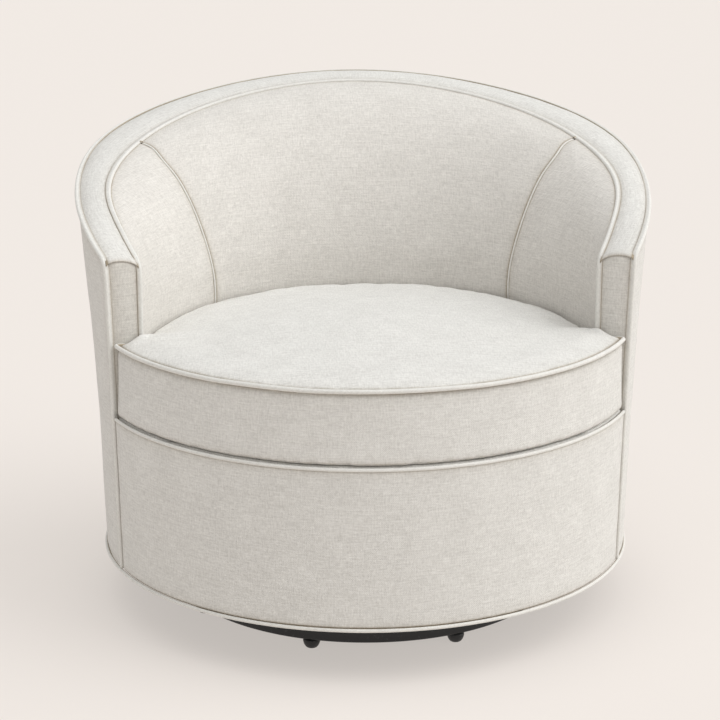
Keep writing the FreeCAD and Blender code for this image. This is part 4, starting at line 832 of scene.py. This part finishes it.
# ---------------------------------------------------------------- welts


def ring_line(radius, z, lo, hi, count):
    p = np.linspace(lo, hi, count, endpoint=(hi - lo) < 359)
    return p, grid(p, np.full_like(p, radius), np.full_like(p, z))


def radial(p, tilt=0.0):
    a, k = np.radians(p), math.radians(tilt)
    return np.stack([np.sin(a) * math.cos(k), -np.cos(a) * math.cos(k), np.full_like(a, math.sin(k))], -1)


p, line = ring_line(398.6, 80.9, 0, 360, 620)
finish(cord("bottom_welt_cord", line, radial(p, 0), 2.6, None, closed=True, seed=111), PIPING, "chair", "cream_piping", "bottom_welt")

p, line = ring_line(402.4, 317.6, -67.5, 67.5, 420)
finish(cord("base_top_welt_cord", line, radial(p, 12), 2.6, None, seed=115), PIPING, "chair", "cream_piping", "base_top_welt")


def legged(fr, fz, leg_r, z0, start, step):
    """Rim line with an upright run down each arm front, its corners eased."""
    p = np.linspace(start, 360 - start, 520)
    rim = grid(p, fr(p), fz(p))
    out_rim = None
    leg_z = np.linspace(z0, float(fz(start)) - 2.0, 60)
    right = grid(np.full_like(leg_z, start), leg_r(leg_z), leg_z)
    left = grid(np.full_like(leg_z, 360 - start), leg_r(leg_z), leg_z)
    line = np.concatenate([right, rim[1:-1], left[::-1]])
    line = resample(line, step)
    return rounded(line, 26)


def welt_out(line, inner):
    """Which way the rim welts face at each point: up and away from the band along the rim, and ahead on the arm fronts."""
    x, y = line[:, 0] * 1000, line[:, 1] * 1000 - AXIS_Y
    phi = np.degrees(np.arctan2(x, -y)) % 360
    f = fold(phi)
    a = np.radians(phi)
    rad = np.stack([np.sin(a), -np.cos(a), 0 * a], -1)
    ahead = np.stack([-np.cos(a), -np.sin(a), 0 * a], -1)
    ahead[phi > 180] *= -1
    up = np.array([0, 0, 1.0])
    k = smooth((f - 68.35) / 2.2)[:, None]
    lift = (up * 0.8 + rad * (-0.6 if inner else 0.6)) * k
    face = (ahead * 0.85 + rad * (-0.5 if inner else 0.5)) * (1 - k)
    o = lift + face
    return o / np.linalg.norm(o, axis=1, keepdims=True)


OUT_START = ARM_FRONT + 0.3
line = legged(rim_ro, rim_zo, lambda z: shell_r(OUT_START, z), 84.0, OUT_START, 0.0026)
finish(cord("outer_welt_cord", line, welt_out(line, False), 3.2, (-1, 4.4, 0.9, 1.35), seed=121), PIPING, "chair", "cream_piping", "outer_welt")
line = legged(rim_ri, rim_zi, lambda z: float(rim_ri(OUT_START)) + 0 * z, 322.4, OUT_START, 0.0026)
finish(cord("inner_welt_cord", line, welt_out(line, True), 3.2, (1, 4.3, 0.9, 1.3), seed=125), PIPING, "chair", "cream_piping", "inner_welt")


# ---------------------------------------------------------------- seat deck


def seat_plan(front_r, gap, ear, step=4.0, ease=3.0, clear=0.0):
    """Plan outline of the seat in mm, round from the middle of the rear, evenly spaced, with its corners eased by about ease mm."""
    pts = [(front_r * math.sin(math.radians(a)), -front_r * math.cos(math.radians(a))) for a in np.linspace(0, ear, 480)]
    corner_r, a = float(seat_rc(68.0)) - gap, math.radians(ear)
    pts += [(r * math.sin(a), -r * math.cos(a)) for r in np.arange(front_r - 1, corner_r, -1.0)]
    for p in np.concatenate([np.arange(68.6, 90, 0.2), np.arange(90, 180.01, 0.5)]):
        r = float(seat_rc(p)) - gap
        pts.append((r * math.sin(math.radians(p)), -r * math.cos(math.radians(p))))
    pts = np.array(pts)
    loop = np.concatenate([pts, (pts * [-1, 1])[::-1][1:]])
    s = np.concatenate([[0], np.cumsum(np.linalg.norm(np.diff(loop, axis=0), axis=1))])
    k = int(round(s[-1]))
    t = np.linspace(0, s[-1], k, endpoint=False)
    even = np.stack([np.interp(t, s, loop[:, 0]), np.interp(t, s, loop[:, 1])], -1)
    for _ in range(int(2 * ease * ease)):
        even = even * 0.5 + (np.roll(even, 1, 0) + np.roll(even, -1, 0)) * 0.25
    if clear:
        for side in (1, -1):
            c = np.array([side * 357.5 * math.sin(math.radians(68.3)), -357.5 * math.cos(math.radians(68.3))])
            v = even - c
            d = np.linalg.norm(v, axis=1)
            near = d < clear
            even[near] = c + v[near] / d[near, None] * clear
        for _ in range(4):
            even = even * 0.5 + (np.roll(even, 1, 0) + np.roll(even, -1, 0)) * 0.25
    even = np.roll(even, -int(np.argmax(even[:, 1])), 0)
    loop = np.concatenate([even, even[:1]])
    s = np.concatenate([[0], np.cumsum(np.linalg.norm(np.diff(loop, axis=0), axis=1))])
    t = np.linspace(0, s[-1], int(round(s[-1] / step)), endpoint=False)
    return np.stack([np.interp(t, s, loop[:, 0]), np.interp(t, s, loop[:, 1])], -1)


PLAN_MID = np.array([0.0, -150.0])


def make_deck():
    edge = seat_plan(398.2, 1.4, 67.55, 5.0, 3.0)
    k = len(edge)
    rho = np.concatenate([np.linspace(0.02, 0.93, 40), np.linspace(0.94, 1.0, 8)])
    xy = PLAN_MID + (edge - PLAN_MID)[:, None] * rho[None, :, None]
    x, y = xy[..., 0], xy[..., 1]
    d_edge = (1 - rho)[None, :] * np.linalg.norm(edge - PLAN_MID, axis=1)[:, None]
    z = 320.1 - roll(d_edge, 6.0, 2.2) + 0 * x
    seam = np.abs(y + 268.0)
    z -= 1.5 * np.exp(-(seam / 2.0) ** 1.4) + 0.8 * np.exp(-(seam / 9.0) ** 2)
    z -= 0.6 + 0.6 * value_noise(x / 70.0, y / 70.0, 131)
    z -= 0.5 * np.abs(value_noise(x / 16.0, y / 200.0, 133)) * np.exp(-seam / 12.0)
    pts = np.stack([x, y + AXIS_Y, z], -1) * 0.001
    uv = np.stack([x, y, 0 * x], -1) * 0.001
    o = cloth_shell("seat_deck_cloth", pts, 0.0013, sign=1, closed=True, uv=uv)
    # the star of small faces in the middle is closed with one cap each side
    bm = bmesh.new()
    bm.from_mesh(o.data)
    bm.verts.ensure_lookup_table()
    n = len(rho)
    top = [bm.verts[i * n] for i in range(k)]
    low = [bm.verts[k * n + i * n] for i in range(k)]
    ring = [f for f in bm.faces if all(v in set(top + low) for v in f.verts)]
    bmesh.ops.delete(bm, geom=ring, context="FACES_ONLY")
    bm.faces.new(top)
    bm.faces.new(low[::-1])
    bmesh.ops.recalc_face_normals(bm, faces=bm.faces)
    for f in bm.faces:
        f.smooth = True
        c = f.calc_center_median()
        f.material_index = 1 if c.y * 1000 - AXIS_Y > -268.0 else 0
    bm.to_mesh(o.data)
    bm.free()
    finish(o, LINEN, "chair", "cream_linen", "deck_cloth")
    o.data.materials.append(DECK)
    return o


make_deck()


# ---------------------------------------------------------------- loose seat cushion

LOW, WELT_Z, WELT_R = 320.9, 428.0, 3.2
COVER_FRONT, COVER_GAP, COVER_EAR = 397.4, 4.2, 67.56
PUFF = 6.0


def at_front(xy):
    """1 along the front of the cushion, 0 beside the arms and back, and between them on the rear faces of the ears."""
    r = np.hypot(xy[:, 0], xy[:, 1])
    phi = np.degrees(np.arctan2(np.abs(xy[:, 0]), -xy[:, 1]))
    return smooth((r - 358.0) / 34.0) * (phi < 71)


def welt_z(xy):
    return 417.0 + (WELT_Z - 417.0) * smooth(at_front(xy))


def top_z(x, y):
    """Height of the filled cushion's top, by plan position in mm."""
    r, phi = np.hypot(x, y), np.degrees(np.arctan2(np.abs(x), -y))
    crown = 458.0 - (x ** 2 + (y + 110.0) ** 2) / 3072.0
    crown = crown + 22.0 * np.exp(-(((r - 368.0) / 27.0) ** 2)) * np.exp(-(((phi - 68.0) / 8.0) ** 2))
    rise = WELT_Z + 0.6 + 8.5 * (1 - np.exp(-np.maximum(COVER_FRONT - r, 0) / 13.0))
    both = np.maximum(crown, rise) + 3.0 * np.log1p(np.exp(-np.abs(crown - rise) / 3.0)) * 0.6
    return crown + (both - crown) * (1 - smooth((phi - 66.0) / 8.0))


def closed_cushion():
    """The cushion before it is filled: its top, boxing and underside as one closed form."""
    edge = seat_plan(COVER_FRONT, COVER_GAP, COVER_EAR, 4.0, 1.4, WELT_R + 1.6)
    k = len(edge)
    t = np.roll(edge, -1, 0) - np.roll(edge, 1, 0)
    n = np.stack([t[:, 1], -t[:, 0]], -1) / np.linalg.norm(t, axis=1, keepdims=True)
    if ((edge - PLAN_MID) * n).sum(1).mean() < 0:
        n = -n
    wf, wz = smooth(at_front(edge)), welt_z(edge)
    zt = top_z(edge[:, 0], edge[:, 1])

    def ring(o_front, o_rear, z_front, z_rear):
        o = o_front * wf + o_rear * (1 - wf)
        xy = edge + n * o[:, None]
        if o.min() < -3:
            xy = xy * 0.5 + (np.roll(xy, 1, 0) + np.roll(xy, -1, 0)) * 0.25
        return np.column_stack([xy, z_front * wf + z_rear * (1 - wf)])

    inner = ring(-5.0, -6.0, 430.5, zt + 2.4)
    rings = []
    for rho in (0.03, 0.15, 0.3, 0.45, 0.6, 0.72, 0.82, 0.9, 0.955):
        xy = PLAN_MID + (inner[:, :2] - PLAN_MID) * rho
        d = (1 - rho) * np.linalg.norm(inner[:, :2] - PLAN_MID, axis=1)
        rings.append(np.column_stack([xy, top_z(xy[:, 0], xy[:, 1]) - PUFF * (1 - np.exp(-((d / 50.0) ** 2))) + 2.4 * np.exp(-d / 30.0)]))
    rings += [inner, ring(-1.0, -2.0, wz + 0.8, zt + 1.4), ring(1.6, 0.8, wz + 0.2, zt - 2.5), ring(1.4, 0.6, wz - 3.0, wz + 1.0)]
    for o, z in ((1.0, 405.0), (1.6, 390.0), (2.2, 370.0), (2.8, 350.0), (3.4, 334.0)):
        rings.append(ring(o, 0.0, np.full(k, z), np.full(k, z)))
    rings += [ring(4.6, -0.4, np.full(k, 325.0), np.full(k, 325.0)), ring(5.6, -1.2, np.full(k, 321.0), np.full(k, 321.0))]
    low = ring(-7.0, -7.0, np.full(k, LOW + 0.2), np.full(k, LOW + 0.2))
    for rho in (1.0, 0.9, 0.7, 0.45, 0.2, 0.03):
        xy = PLAN_MID + (low[:, :2] - PLAN_MID) * rho
        rings.append(np.column_stack([xy, np.full(k, LOW + 0.2)]))
    pts = np.array(rings)
    pts[..., 1] += AXIS_Y
    verts = pts.reshape(-1, 3) * 0.001
    m = len(rings)
    i = np.arange(m * k).reshape(m, k)
    faces = np.stack([i[:-1], i[1:], np.roll(i[1:], -1, 1), np.roll(i[:-1], -1, 1)], -1).reshape(-1, 4).tolist()
    faces += [list(i[0]), list(i[-1][::-1])]
    return make_object("cushion_form", verts, faces)


def evaluated(o):
    dg = bpy.context.evaluated_depsgraph_get()
    dg.update()
    return bpy.data.meshes.new_from_object(o.evaluated_get(dg))


def coords(mesh):
    co = np.zeros(len(mesh.vertices) * 3, np.float32)
    mesh.vertices.foreach_get("co", co)
    return co.reshape(-1, 3).astype(float)


def put(mesh, co):
    mesh.vertices.foreach_set("co", np.ascontiguousarray(co, np.float32).ravel())
    mesh.update()


def edge_distance(xy, outline):
    """Distance in mm from plan points to an outline, and how far round it the nearest place is."""
    loop = np.concatenate([outline, outline[:1]])
    s = np.concatenate([[0], np.cumsum(np.linalg.norm(np.diff(loop, axis=0), axis=1))])
    best, where = np.full(len(xy), 1e9), np.zeros(len(xy))
    for i in range(len(outline)):
        a, b = loop[i], loop[i + 1]
        ab = b - a
        t = np.clip(((xy - a) @ ab) / max(ab @ ab, 1e-9), 0, 1)
        d = np.linalg.norm(xy - (a + t[:, None] * ab), axis=1)
        near = d < best
        best[near], where[near] = d[near], (s[i] + t * np.linalg.norm(ab))[near]
    return best, where


def make_cushion():
    form = closed_cushion()
    re = form.modifiers.new("voxels", "REMESH")
    re.mode = "VOXEL"
    re.voxel_size = 0.0064
    mesh = evaluated(form)
    bpy.data.objects.remove(form)
    o = bpy.data.objects.new("seat_cushion_linen", mesh)
    bpy.context.scene.collection.objects.link(o)
    rest = coords(mesh)
    mm = rest * 1000
    mm[:, 1] -= AXIS_Y
    outline = seat_plan(COVER_FRONT, COVER_GAP, COVER_EAR, 6.0, 1.4, WELT_R + 1.6)
    d, where = edge_distance(mm[:, :2], outline)
    nrm = np.zeros(len(rest) * 3, np.float32)
    mesh.vertices.foreach_get("normal", nrm)
    nrm = nrm.reshape(-1, 3).astype(float)
    front = at_front(mm[:, :2] * ((np.hypot(mm[:, 0], mm[:, 1]) + np.minimum(d, 12)) / np.hypot(mm[:, 0], mm[:, 1]))[:, None])
    # held: the welt line round the top edge, the flat underside and the lower edge
    wz = welt_z(mm[:, :2])
    seam = np.exp(-(((mm[:, 2] - wz) / 6.0) ** 2)) * np.exp(-((d / 8.0) ** 2))
    under = smooth((334.0 - mm[:, 2]) / 9.0)
    hold = np.clip(np.maximum(seam, under), 0, 1)
    g = o.vertex_groups.new(name="held")
    for i, w in enumerate(hold):
        if w > 0.02:
            g.add([i], float(w), "REPLACE")
    c = o.modifiers.new("inflate", "CLOTH")
    c.settings.quality = 5
    c.settings.mass = 0.25
    c.settings.tension_stiffness = 18
    c.settings.compression_stiffness = 12
    c.settings.shear_stiffness = 6
    c.settings.bending_stiffness = 0.6
    c.settings.use_pressure = True
    c.settings.uniform_pressure_force = 4.0
    c.settings.vertex_group_mass = "held"
    c.settings.pin_stiffness = 1.0
    c.settings.effector_weights.gravity = 0.0
    c.collision_settings.use_collision = False
    c.point_cache.frame_start, c.point_cache.frame_end = 1, 20
    for f in range(1, 21):
        bpy.context.scene.frame_set(f)
    blown = evaluated(o)
    moved = coords(blown) - rest
    o.modifiers.clear()
    bpy.context.scene.frame_set(1)
    bpy.data.meshes.remove(blown)
    size = np.linalg.norm(moved, axis=1)
    top = (nrm[:, 2] > 0.8) & (d > 60)
    print("cushion filled: top moved %.4f m, rest up to %.4f m" % (np.median(size[top]), size.max()))
    # how far each place may move: freely on top, less at the front, little beside the arms and back
    upper = (nrm[:, 2] > 0.55) & (mm[:, 2] > wz - 2)
    close = smooth(1 - d / 22.0)
    cap = np.where(upper, PUFF * 1.25 * (1 - close) + 0.8 * close, 3.4 * smooth(front) + 1.0 * (1 - smooth(front))) * 0.001
    cap = cap * (1 - 0.97 * hold) + 1e-6
    size = np.linalg.norm(moved, axis=1)
    keep = cap * np.tanh(size / cap) / np.maximum(size, 1e-9)
    put(mesh, rest + moved * keep[:, None])
    sub = o.modifiers.new("finer", "SUBSURF")
    sub.levels = sub.render_levels = 1
    fine = evaluated(o)
    o.modifiers.clear()
    o.data = fine
    bpy.data.meshes.remove(mesh)
    # stitched seam, gathers and the cloth's slight unevenness
    co = coords(fine)
    mm = co * 1000
    mm[:, 1] -= AXIS_Y
    nrm = np.zeros(len(co) * 3, np.float32)
    fine.vertices.foreach_get("normal", nrm)
    nrm = nrm.reshape(-1, 3).astype(float)
    d, where = edge_distance(mm[:, :2], outline)
    wz = welt_z(mm[:, :2])
    on_side = np.abs(nrm[:, 2]) < 0.62
    from_seam = np.where(on_side, np.abs(mm[:, 2] - wz), np.hypot(d, mm[:, 2] - wz))
    below = on_side & (mm[:, 2] < wz)
    h = np.where(below, -3.4 * np.exp(-((from_seam / 7.5) ** 2)), -1.6 * np.exp(-((from_seam / 4.2) ** 2)))
    ride = value_noise(where / 13.0, from_seam / 70.0 + 3, 141) * np.exp(-from_seam / 15.0) + 0.8 * value_noise(where / 29.0, from_seam / 90.0 + 3, 143) * np.exp(-from_seam / 32.0)
    h += 0.75 * ride
    low_edge = np.abs(mm[:, 2] - 322.0)
    h -= np.where(on_side, 0.3 * np.exp(-((low_edge / 2.0) ** 2)), 0)
    top = (~on_side) & (nrm[:, 2] > 0)
    h += np.where(top, 1.0 * value_noise(mm[:, 0] / 95.0, mm[:, 1] / 95.0, 145) + 0.35 * value_noise(mm[:, 0] / 31.0, mm[:, 1] / 31.0, 146), 0.4 * value_noise(where / 55.0, mm[:, 2] / 55.0, 147))
    bottom = mm[:, 2] < 330
    h = np.where(bottom, np.minimum(h, 0), h)
    co += nrm * h[:, None] * 0.001
    co[:, 2] = np.maximum(co[:, 2], 0.3206)
    put(fine, co)
    cloth = np.where(on_side[:, None], np.column_stack([where, mm[:, 2], 0 * where]), np.column_stack([mm[:, 0], mm[:, 1], 0 * where])) * 0.001
    # painted shade: in the seam under and over the welt, on the walls above the welt that face the arms and back, and
    # along the foot where the cushion meets the deck
    welt_shade = np.where(below, 0.72 * np.exp(-(np.maximum(from_seam - 3.0, 0) / 1.9) ** 2) + 0.34 * np.exp(-np.maximum(from_seam - 3.0, 0) / 5.0), 0.62 * np.exp(-(np.maximum(from_seam - 3.4, 0) / 1.6) ** 2) + 0.16 * np.exp(-np.maximum(from_seam - 3.4, 0) / 6.0))
    wall_shade = np.where(on_side & (mm[:, 2] > wz), 0.5 * (1 - at_front(mm[:, :2])), 0)
    foot_shade = np.where(on_side, 0.7 * np.exp(-((np.maximum(mm[:, 2] - 322.5, 0) / 2.2) ** 2)) + 0.2 * np.exp(-np.maximum(mm[:, 2] - 322.5, 0) / 5.0), 0)
    cloth_attribute(fine, cloth, np.clip(np.maximum(np.maximum(welt_shade, wall_shade), foot_shade), 0, 1))
    fine.polygons.foreach_set("use_smooth", [True] * len(fine.polygons))
    fine.update()
    return finish(o, LINEN, "seat_cushion", "cream_linen", "cushion_cover", "cushion_core")


cushion = make_cushion()


def make_cushion_welt():
    plan = seat_plan(399.2, 5.4, 67.42, 2.2, 2.0, WELT_R + 4.4)
    z = welt_z(plan * (COVER_FRONT / 399.0)) + 0.5 * value_noise(np.arange(len(plan)) / 38.0, np.zeros(len(plan)), 151)
    for _ in range(10):
        z = z * 0.5 + (np.roll(z, 1) + np.roll(z, -1)) * 0.25
    line = np.column_stack([plan[:, 0], plan[:, 1] + AXIS_Y, z]) * 0.001
    t = np.roll(line, -1, 0) - np.roll(line, 1, 0)
    out = np.cross(t, np.array([0, 0, 1.0]))
    out /= np.linalg.norm(out, axis=1, keepdims=True)
    mid = line.mean(0)
    out *= np.sign((out * (line - mid)).sum(1).mean())
    out[:, 2] += 0.35
    out /= np.linalg.norm(out, axis=1, keepdims=True)
    o = cord("cushion_welt_cord", line, out, WELT_R, None, closed=True, seed=153)
    return finish(o, PIPING, "seat_cushion", "cream_piping", "cushion_welt")


make_cushion_welt()


def make_zip():
    """A coil zip in the rear boxing: two tapes, the coil between them, and a slider."""
    dg = bpy.context.evaluated_depsgraph_get()
    tree = BVHTree.FromObject(cushion, dg)
    count = 230
    p = np.linspace(141.0, 219.0, count)
    rows = [(352.6, 0.35), (354.0, 0.55), (358.0, 0.75), (360.3, 0.95), (361.2, 1.9), (362.0, 2.15), (362.8, 1.9), (363.7, 0.95), (366.0, 0.75), (370.0, 0.55), (371.4, 0.35)]
    pts = np.zeros((count, len(rows), 3))
    for i, a in enumerate(p):
        d = Vector((math.sin(math.radians(a)), -math.cos(math.radians(a)), 0))
        for j, (z, lift) in enumerate(rows):
            start = Vector((0, AXIS_Y * 0.001, z * 0.001)) + d * 0.36
            hit = tree.ray_cast(start, -d)[0]
            base = hit if hit is not None else Vector((0, AXIS_Y * 0.001, z * 0.001)) + d * (float(seat_rc(a)) - COVER_GAP) * 0.001
            tooth = 0.45 * (1 if i % 2 else -1) if j in (4, 5, 6) else 0.0
            pts[i, j] = base + d * (lift + tooth) * 0.001
    o = cloth_shell("cushion_zip_coil", pts, 0.0005, sign=1)
    finish(o, TAPE, "seat_cushion", "zip_tape", "cushion_zip")
    # slider with its pull tab, at the right-hand end of the coil
    i = count - 12
    at = Vector(pts[i, 5])
    d = Vector((math.sin(math.radians(p[i])), -math.cos(math.radians(p[i])), 0))
    side = Vector((0, 0, 1)).cross(d).normalized()
    bm = bmesh.new()

    def block(centre, half, ease):
        made = bmesh.ops.create_cube(bm, size=1.0)["verts"]
        for v in made:
            q = v.co.copy()
            v.co = centre + side * (q.x * half[0] * 2) + d * (q.y * half[1] * 2) + Vector((0, 0, q.z * half[2] * 2))
        edges = list({e for v in made for e in v.link_edges})
        bmesh.ops.bevel(bm, geom=edges, offset=ease, segments=3, affect="EDGES")

    block(at + d * 0.0006, (0.0042, 0.0011, 0.0034), 0.0008)
    block(at + d * 0.0022, (0.0012, 0.0007, 0.0012), 0.0004)
    block(at + d * 0.0026 - Vector((0, 0, 0.0085)), (0.0022, 0.0004, 0.0085), 0.00035)
    mesh = bpy.data.meshes.new("cushion_zip_slider")
    bm.to_mesh(mesh)
    bm.free()
    s = bpy.data.objects.new("cushion_zip_slider", mesh)
    bpy.context.scene.collection.objects.link(s)
    finish(s, FINISH["zinc_steel"], "seat_cushion", "zinc_steel")


make_zip()


# ---------------------------------------------------------------- floor ring and glides


def make_ring():
    verts, faces = lathe("ring", rounded_rect(263.0, 288.0, 15.0, 40.0, 3.2), 200)
    # weld bead where the ring's ends meet, at the back
    a = np.degrees(np.arctan2(verts[:, 0] * 1000, -(verts[:, 1] * 1000 - AXIS_Y)))
    bead = np.exp(-(((np.abs(a) - 180) / 0.45) ** 2))
    mid = np.array([0.2755 * np.sin(np.radians(a)), -0.2755 * np.cos(np.radians(a)) + AXIS_Y * 0.001, np.full(len(a), 0.0275)]).T
    out = verts - mid
    out /= np.linalg.norm(out, axis=1, keepdims=True)
    verts = verts + out * (bead * 0.0011)[:, None]
    o = make_object("base_ring_tube", verts, faces)
    return finish(o, FINISH["black_steel"], "swivel_base", "black_steel", "base_ring")


make_ring()


def tube_between(bm, x0, x1, y0, y1, z0, z1, r, along_x):
    """A square tube with rounded corners, open ends plugged by a slightly sunk cap."""
    a = rounded_rect(y0, y1, z0, z1, r) if along_x else rounded_rect(x0, x1, z0, z1, r)
    ends = (x0, x1) if along_x else (y0, y1)
    rings = []
    for t, inset in ((ends[0] + 1.2, 2.2), (ends[0], 1.2), (ends[0], 0.0), (ends[1], 0.0), (ends[1], 1.2), (ends[1] - 1.2, 2.2)):
        cx = (a[0][0] + a[len(a) // 2][0]) / 2
        cz = (z0 + z1) / 2
        ring = []
        for q, zz in a:
            qq = q - math.copysign(min(inset, abs(q - cx)), q - cx)
            zk = zz - math.copysign(min(inset, abs(zz - cz)), zz - cz)
            co = (t, qq + AXIS_Y, zk) if along_x else (qq, t + AXIS_Y, zk)
            ring.append(bm.verts.new([c * 0.001 for c in co]))
        rings.append(ring)
    n = len(a)
    for g, h in zip(rings[:-1], rings[1:]):
        for i in range(n):
            bm.faces.new([g[i], g[(i + 1) % n], h[(i + 1) % n], h[i]])
    bm.faces.new(rings[0])
    bm.faces.new(rings[-1][::-1])


def make_arms():
    for name, node, boxes in (
        ("cross_arm_long_tube", "cross_arm_long", [(-285, 285, -20, 20, True)]),
        ("cross_arm_short_tubes", "cross_arm_short", [(-20, 20, 20.2, 285, False), (-20, 20, -285, -20.2, False)]),
    ):
        bm = bmesh.new()
        for x0, x1, y0, y1, along in boxes:
            tube_between(bm, x0, x1, y0, y1, 40.05, 59.95, 2.6, along)
        bmesh.ops.recalc_face_normals(bm, faces=bm.faces)
        for f in bm.faces:
            f.smooth = len(f.verts) == 4 and f.calc_area() < 6e-4
        mesh = bpy.data.meshes.new(name)
        bm.to_mesh(mesh)
        bm.free()
        o = bpy.data.objects.new(name, mesh)
        bpy.context.scene.collection.objects.link(o)
        finish(o, FINISH["black_steel"], "swivel_base", "black_steel", node)


make_arms()


def make_glides():
    prof = [(0.01, 0.0), (5.6, 0.0), (6.9, 0.25), (8.4, 1.2), (9.9, 3.0), (11.2, 5.4), (12.2, 8.2), (12.7, 10.8), (12.4, 13.0), (11.4, 14.5), (10.4, 14.9), (4.2, 14.9), (4.1, 8.0), (0.01, 8.0)]
    verts, faces, off = [], [], 0
    for i in range(8):
        a = math.radians(90 + 3.0 + 22.5 + 45 * i)
        v, f = lathe("glide", prof, 40, (275.5 * math.cos(a), 275.5 * math.sin(a)))
        verts.append(v)
        faces.append(f + off)
        off += len(v)
    o = make_object("floor_glides_moulded", np.concatenate(verts), np.concatenate(faces))
    return finish(o, FINISH["black_plastic"], "swivel_base", "black_plastic", "glides")


make_glides()


# ---------------------------------------------------------------- floor, light, camera

# a pale lit table: part of its brightness is its own, so shadows on it stay soft
floor_mat = Nodes("pale_floor")
floor_mat.set(Roughness=1.0, Specular_IOR_Level=0.0)
floor_mat.bsdf.inputs["Base Color"].default_value = (0.345, 0.323, 0.304, 1)
floor_mat.bsdf.inputs["Emission Color"].default_value = (1.0, 0.936, 0.881, 1)
floor_mat.bsdf.inputs["Emission Strength"].default_value = 0.50
mesh = bpy.data.meshes.new("studio_floor")
mesh.from_pydata([(-40, -40, 0), (40, -40, 0), (40, 40, 0), (-40, 40, 0)], [], [(0, 1, 2, 3)])
floor = bpy.data.objects.new("studio_floor", mesh)
mesh.materials.append(floor_mat.mat)
bpy.context.scene.collection.objects.link(floor)

scene = bpy.context.scene
world = bpy.data.worlds.new("studio")
scene.world = world
world.use_nodes = True
wt = world.node_tree
wt.nodes.clear()
wo = wt.nodes.new("ShaderNodeOutputWorld")
wb = wt.nodes.new("ShaderNodeBackground")
wc = wt.nodes.new("ShaderNodeTexCoord")
ws = wt.nodes.new("ShaderNodeSeparateXYZ")
wr = wt.nodes.new("ShaderNodeValToRGB")
# bright at the horizon like a studio sweep, dimmer above it, and a lit ceiling
stops = [(0.0, (0.86, 0.806, 0.76)), (0.06, (0.84, 0.79, 0.748)), (0.2, (0.47, 0.462, 0.452)), (0.5, (0.42, 0.42, 0.42)), (1.0, (0.62, 0.625, 0.63))]
while len(wr.color_ramp.elements) < len(stops):
    wr.color_ramp.elements.new(0.5)
for el, (pos, col) in zip(wr.color_ramp.elements, stops):
    el.position, el.color = pos, (*col, 1)
wt.links.new(wc.outputs["Generated"], ws.inputs[0])
wt.links.new(ws.outputs["Z"], wr.inputs[0])
wt.links.new(wr.outputs[0], wb.inputs["Color"])
wb.inputs["Strength"].default_value = 1.0
wt.links.new(wb.outputs[0], wo.inputs[0])


def sun(name, azimuth, elevation, strength, size, colour=(1, 1, 1)):
    """A very broad, soft light from a direction: azimuth from straight ahead of the chair towards +X."""
    d = bpy.data.lights.new(name, "SUN")
    d.energy, d.angle, d.color = strength, math.radians(size), colour
    o = bpy.data.objects.new(name, d)
    a, e = math.radians(azimuth), math.radians(elevation)
    towards = Vector((math.sin(a) * math.cos(e), -math.cos(a) * math.cos(e), math.sin(e)))
    o.rotation_mode = "QUATERNION"
    o.rotation_quaternion = towards.to_track_quat("Z", "Y")
    o.location = towards * 4
    scene.collection.objects.link(o)
    return o


sun("key_softbox", 80, 38, 1.6, 60, (1.0, 1.0, 0.995))
sun("top_softbox", 20, 80, 0.9, 60, (1.0, 1.0, 1.0))

cam = bpy.data.cameras.new("camera")
camera = bpy.data.objects.new("camera", cam)
scene.collection.objects.link(camera)
psi, pitch, dist, focal = 0.054554, 0.28305, 3.4144, 2340.49
cam.sensor_width = 36.0
cam.lens = focal / 720 * 36
cam.clip_start, cam.clip_end = 0.1, 200
yaw = psi - math.atan(5.6 / focal)
camera.location = (-dist * math.sin(psi), AXIS_Y * 0.001 - dist * math.cos(psi), 1.35)
look = Vector((math.sin(yaw) * math.cos(pitch), math.cos(yaw) * math.cos(pitch), -math.sin(pitch)))
camera.rotation_mode = "QUATERNION"
camera.rotation_quaternion = look.to_track_quat("-Z", "Y")
scene.camera = camera
scene.view_settings.view_transform = "Standard"
scene.view_settings.look = "None"
scene.view_settings.exposure = 0.0
scene.view_settings.gamma = 1.0
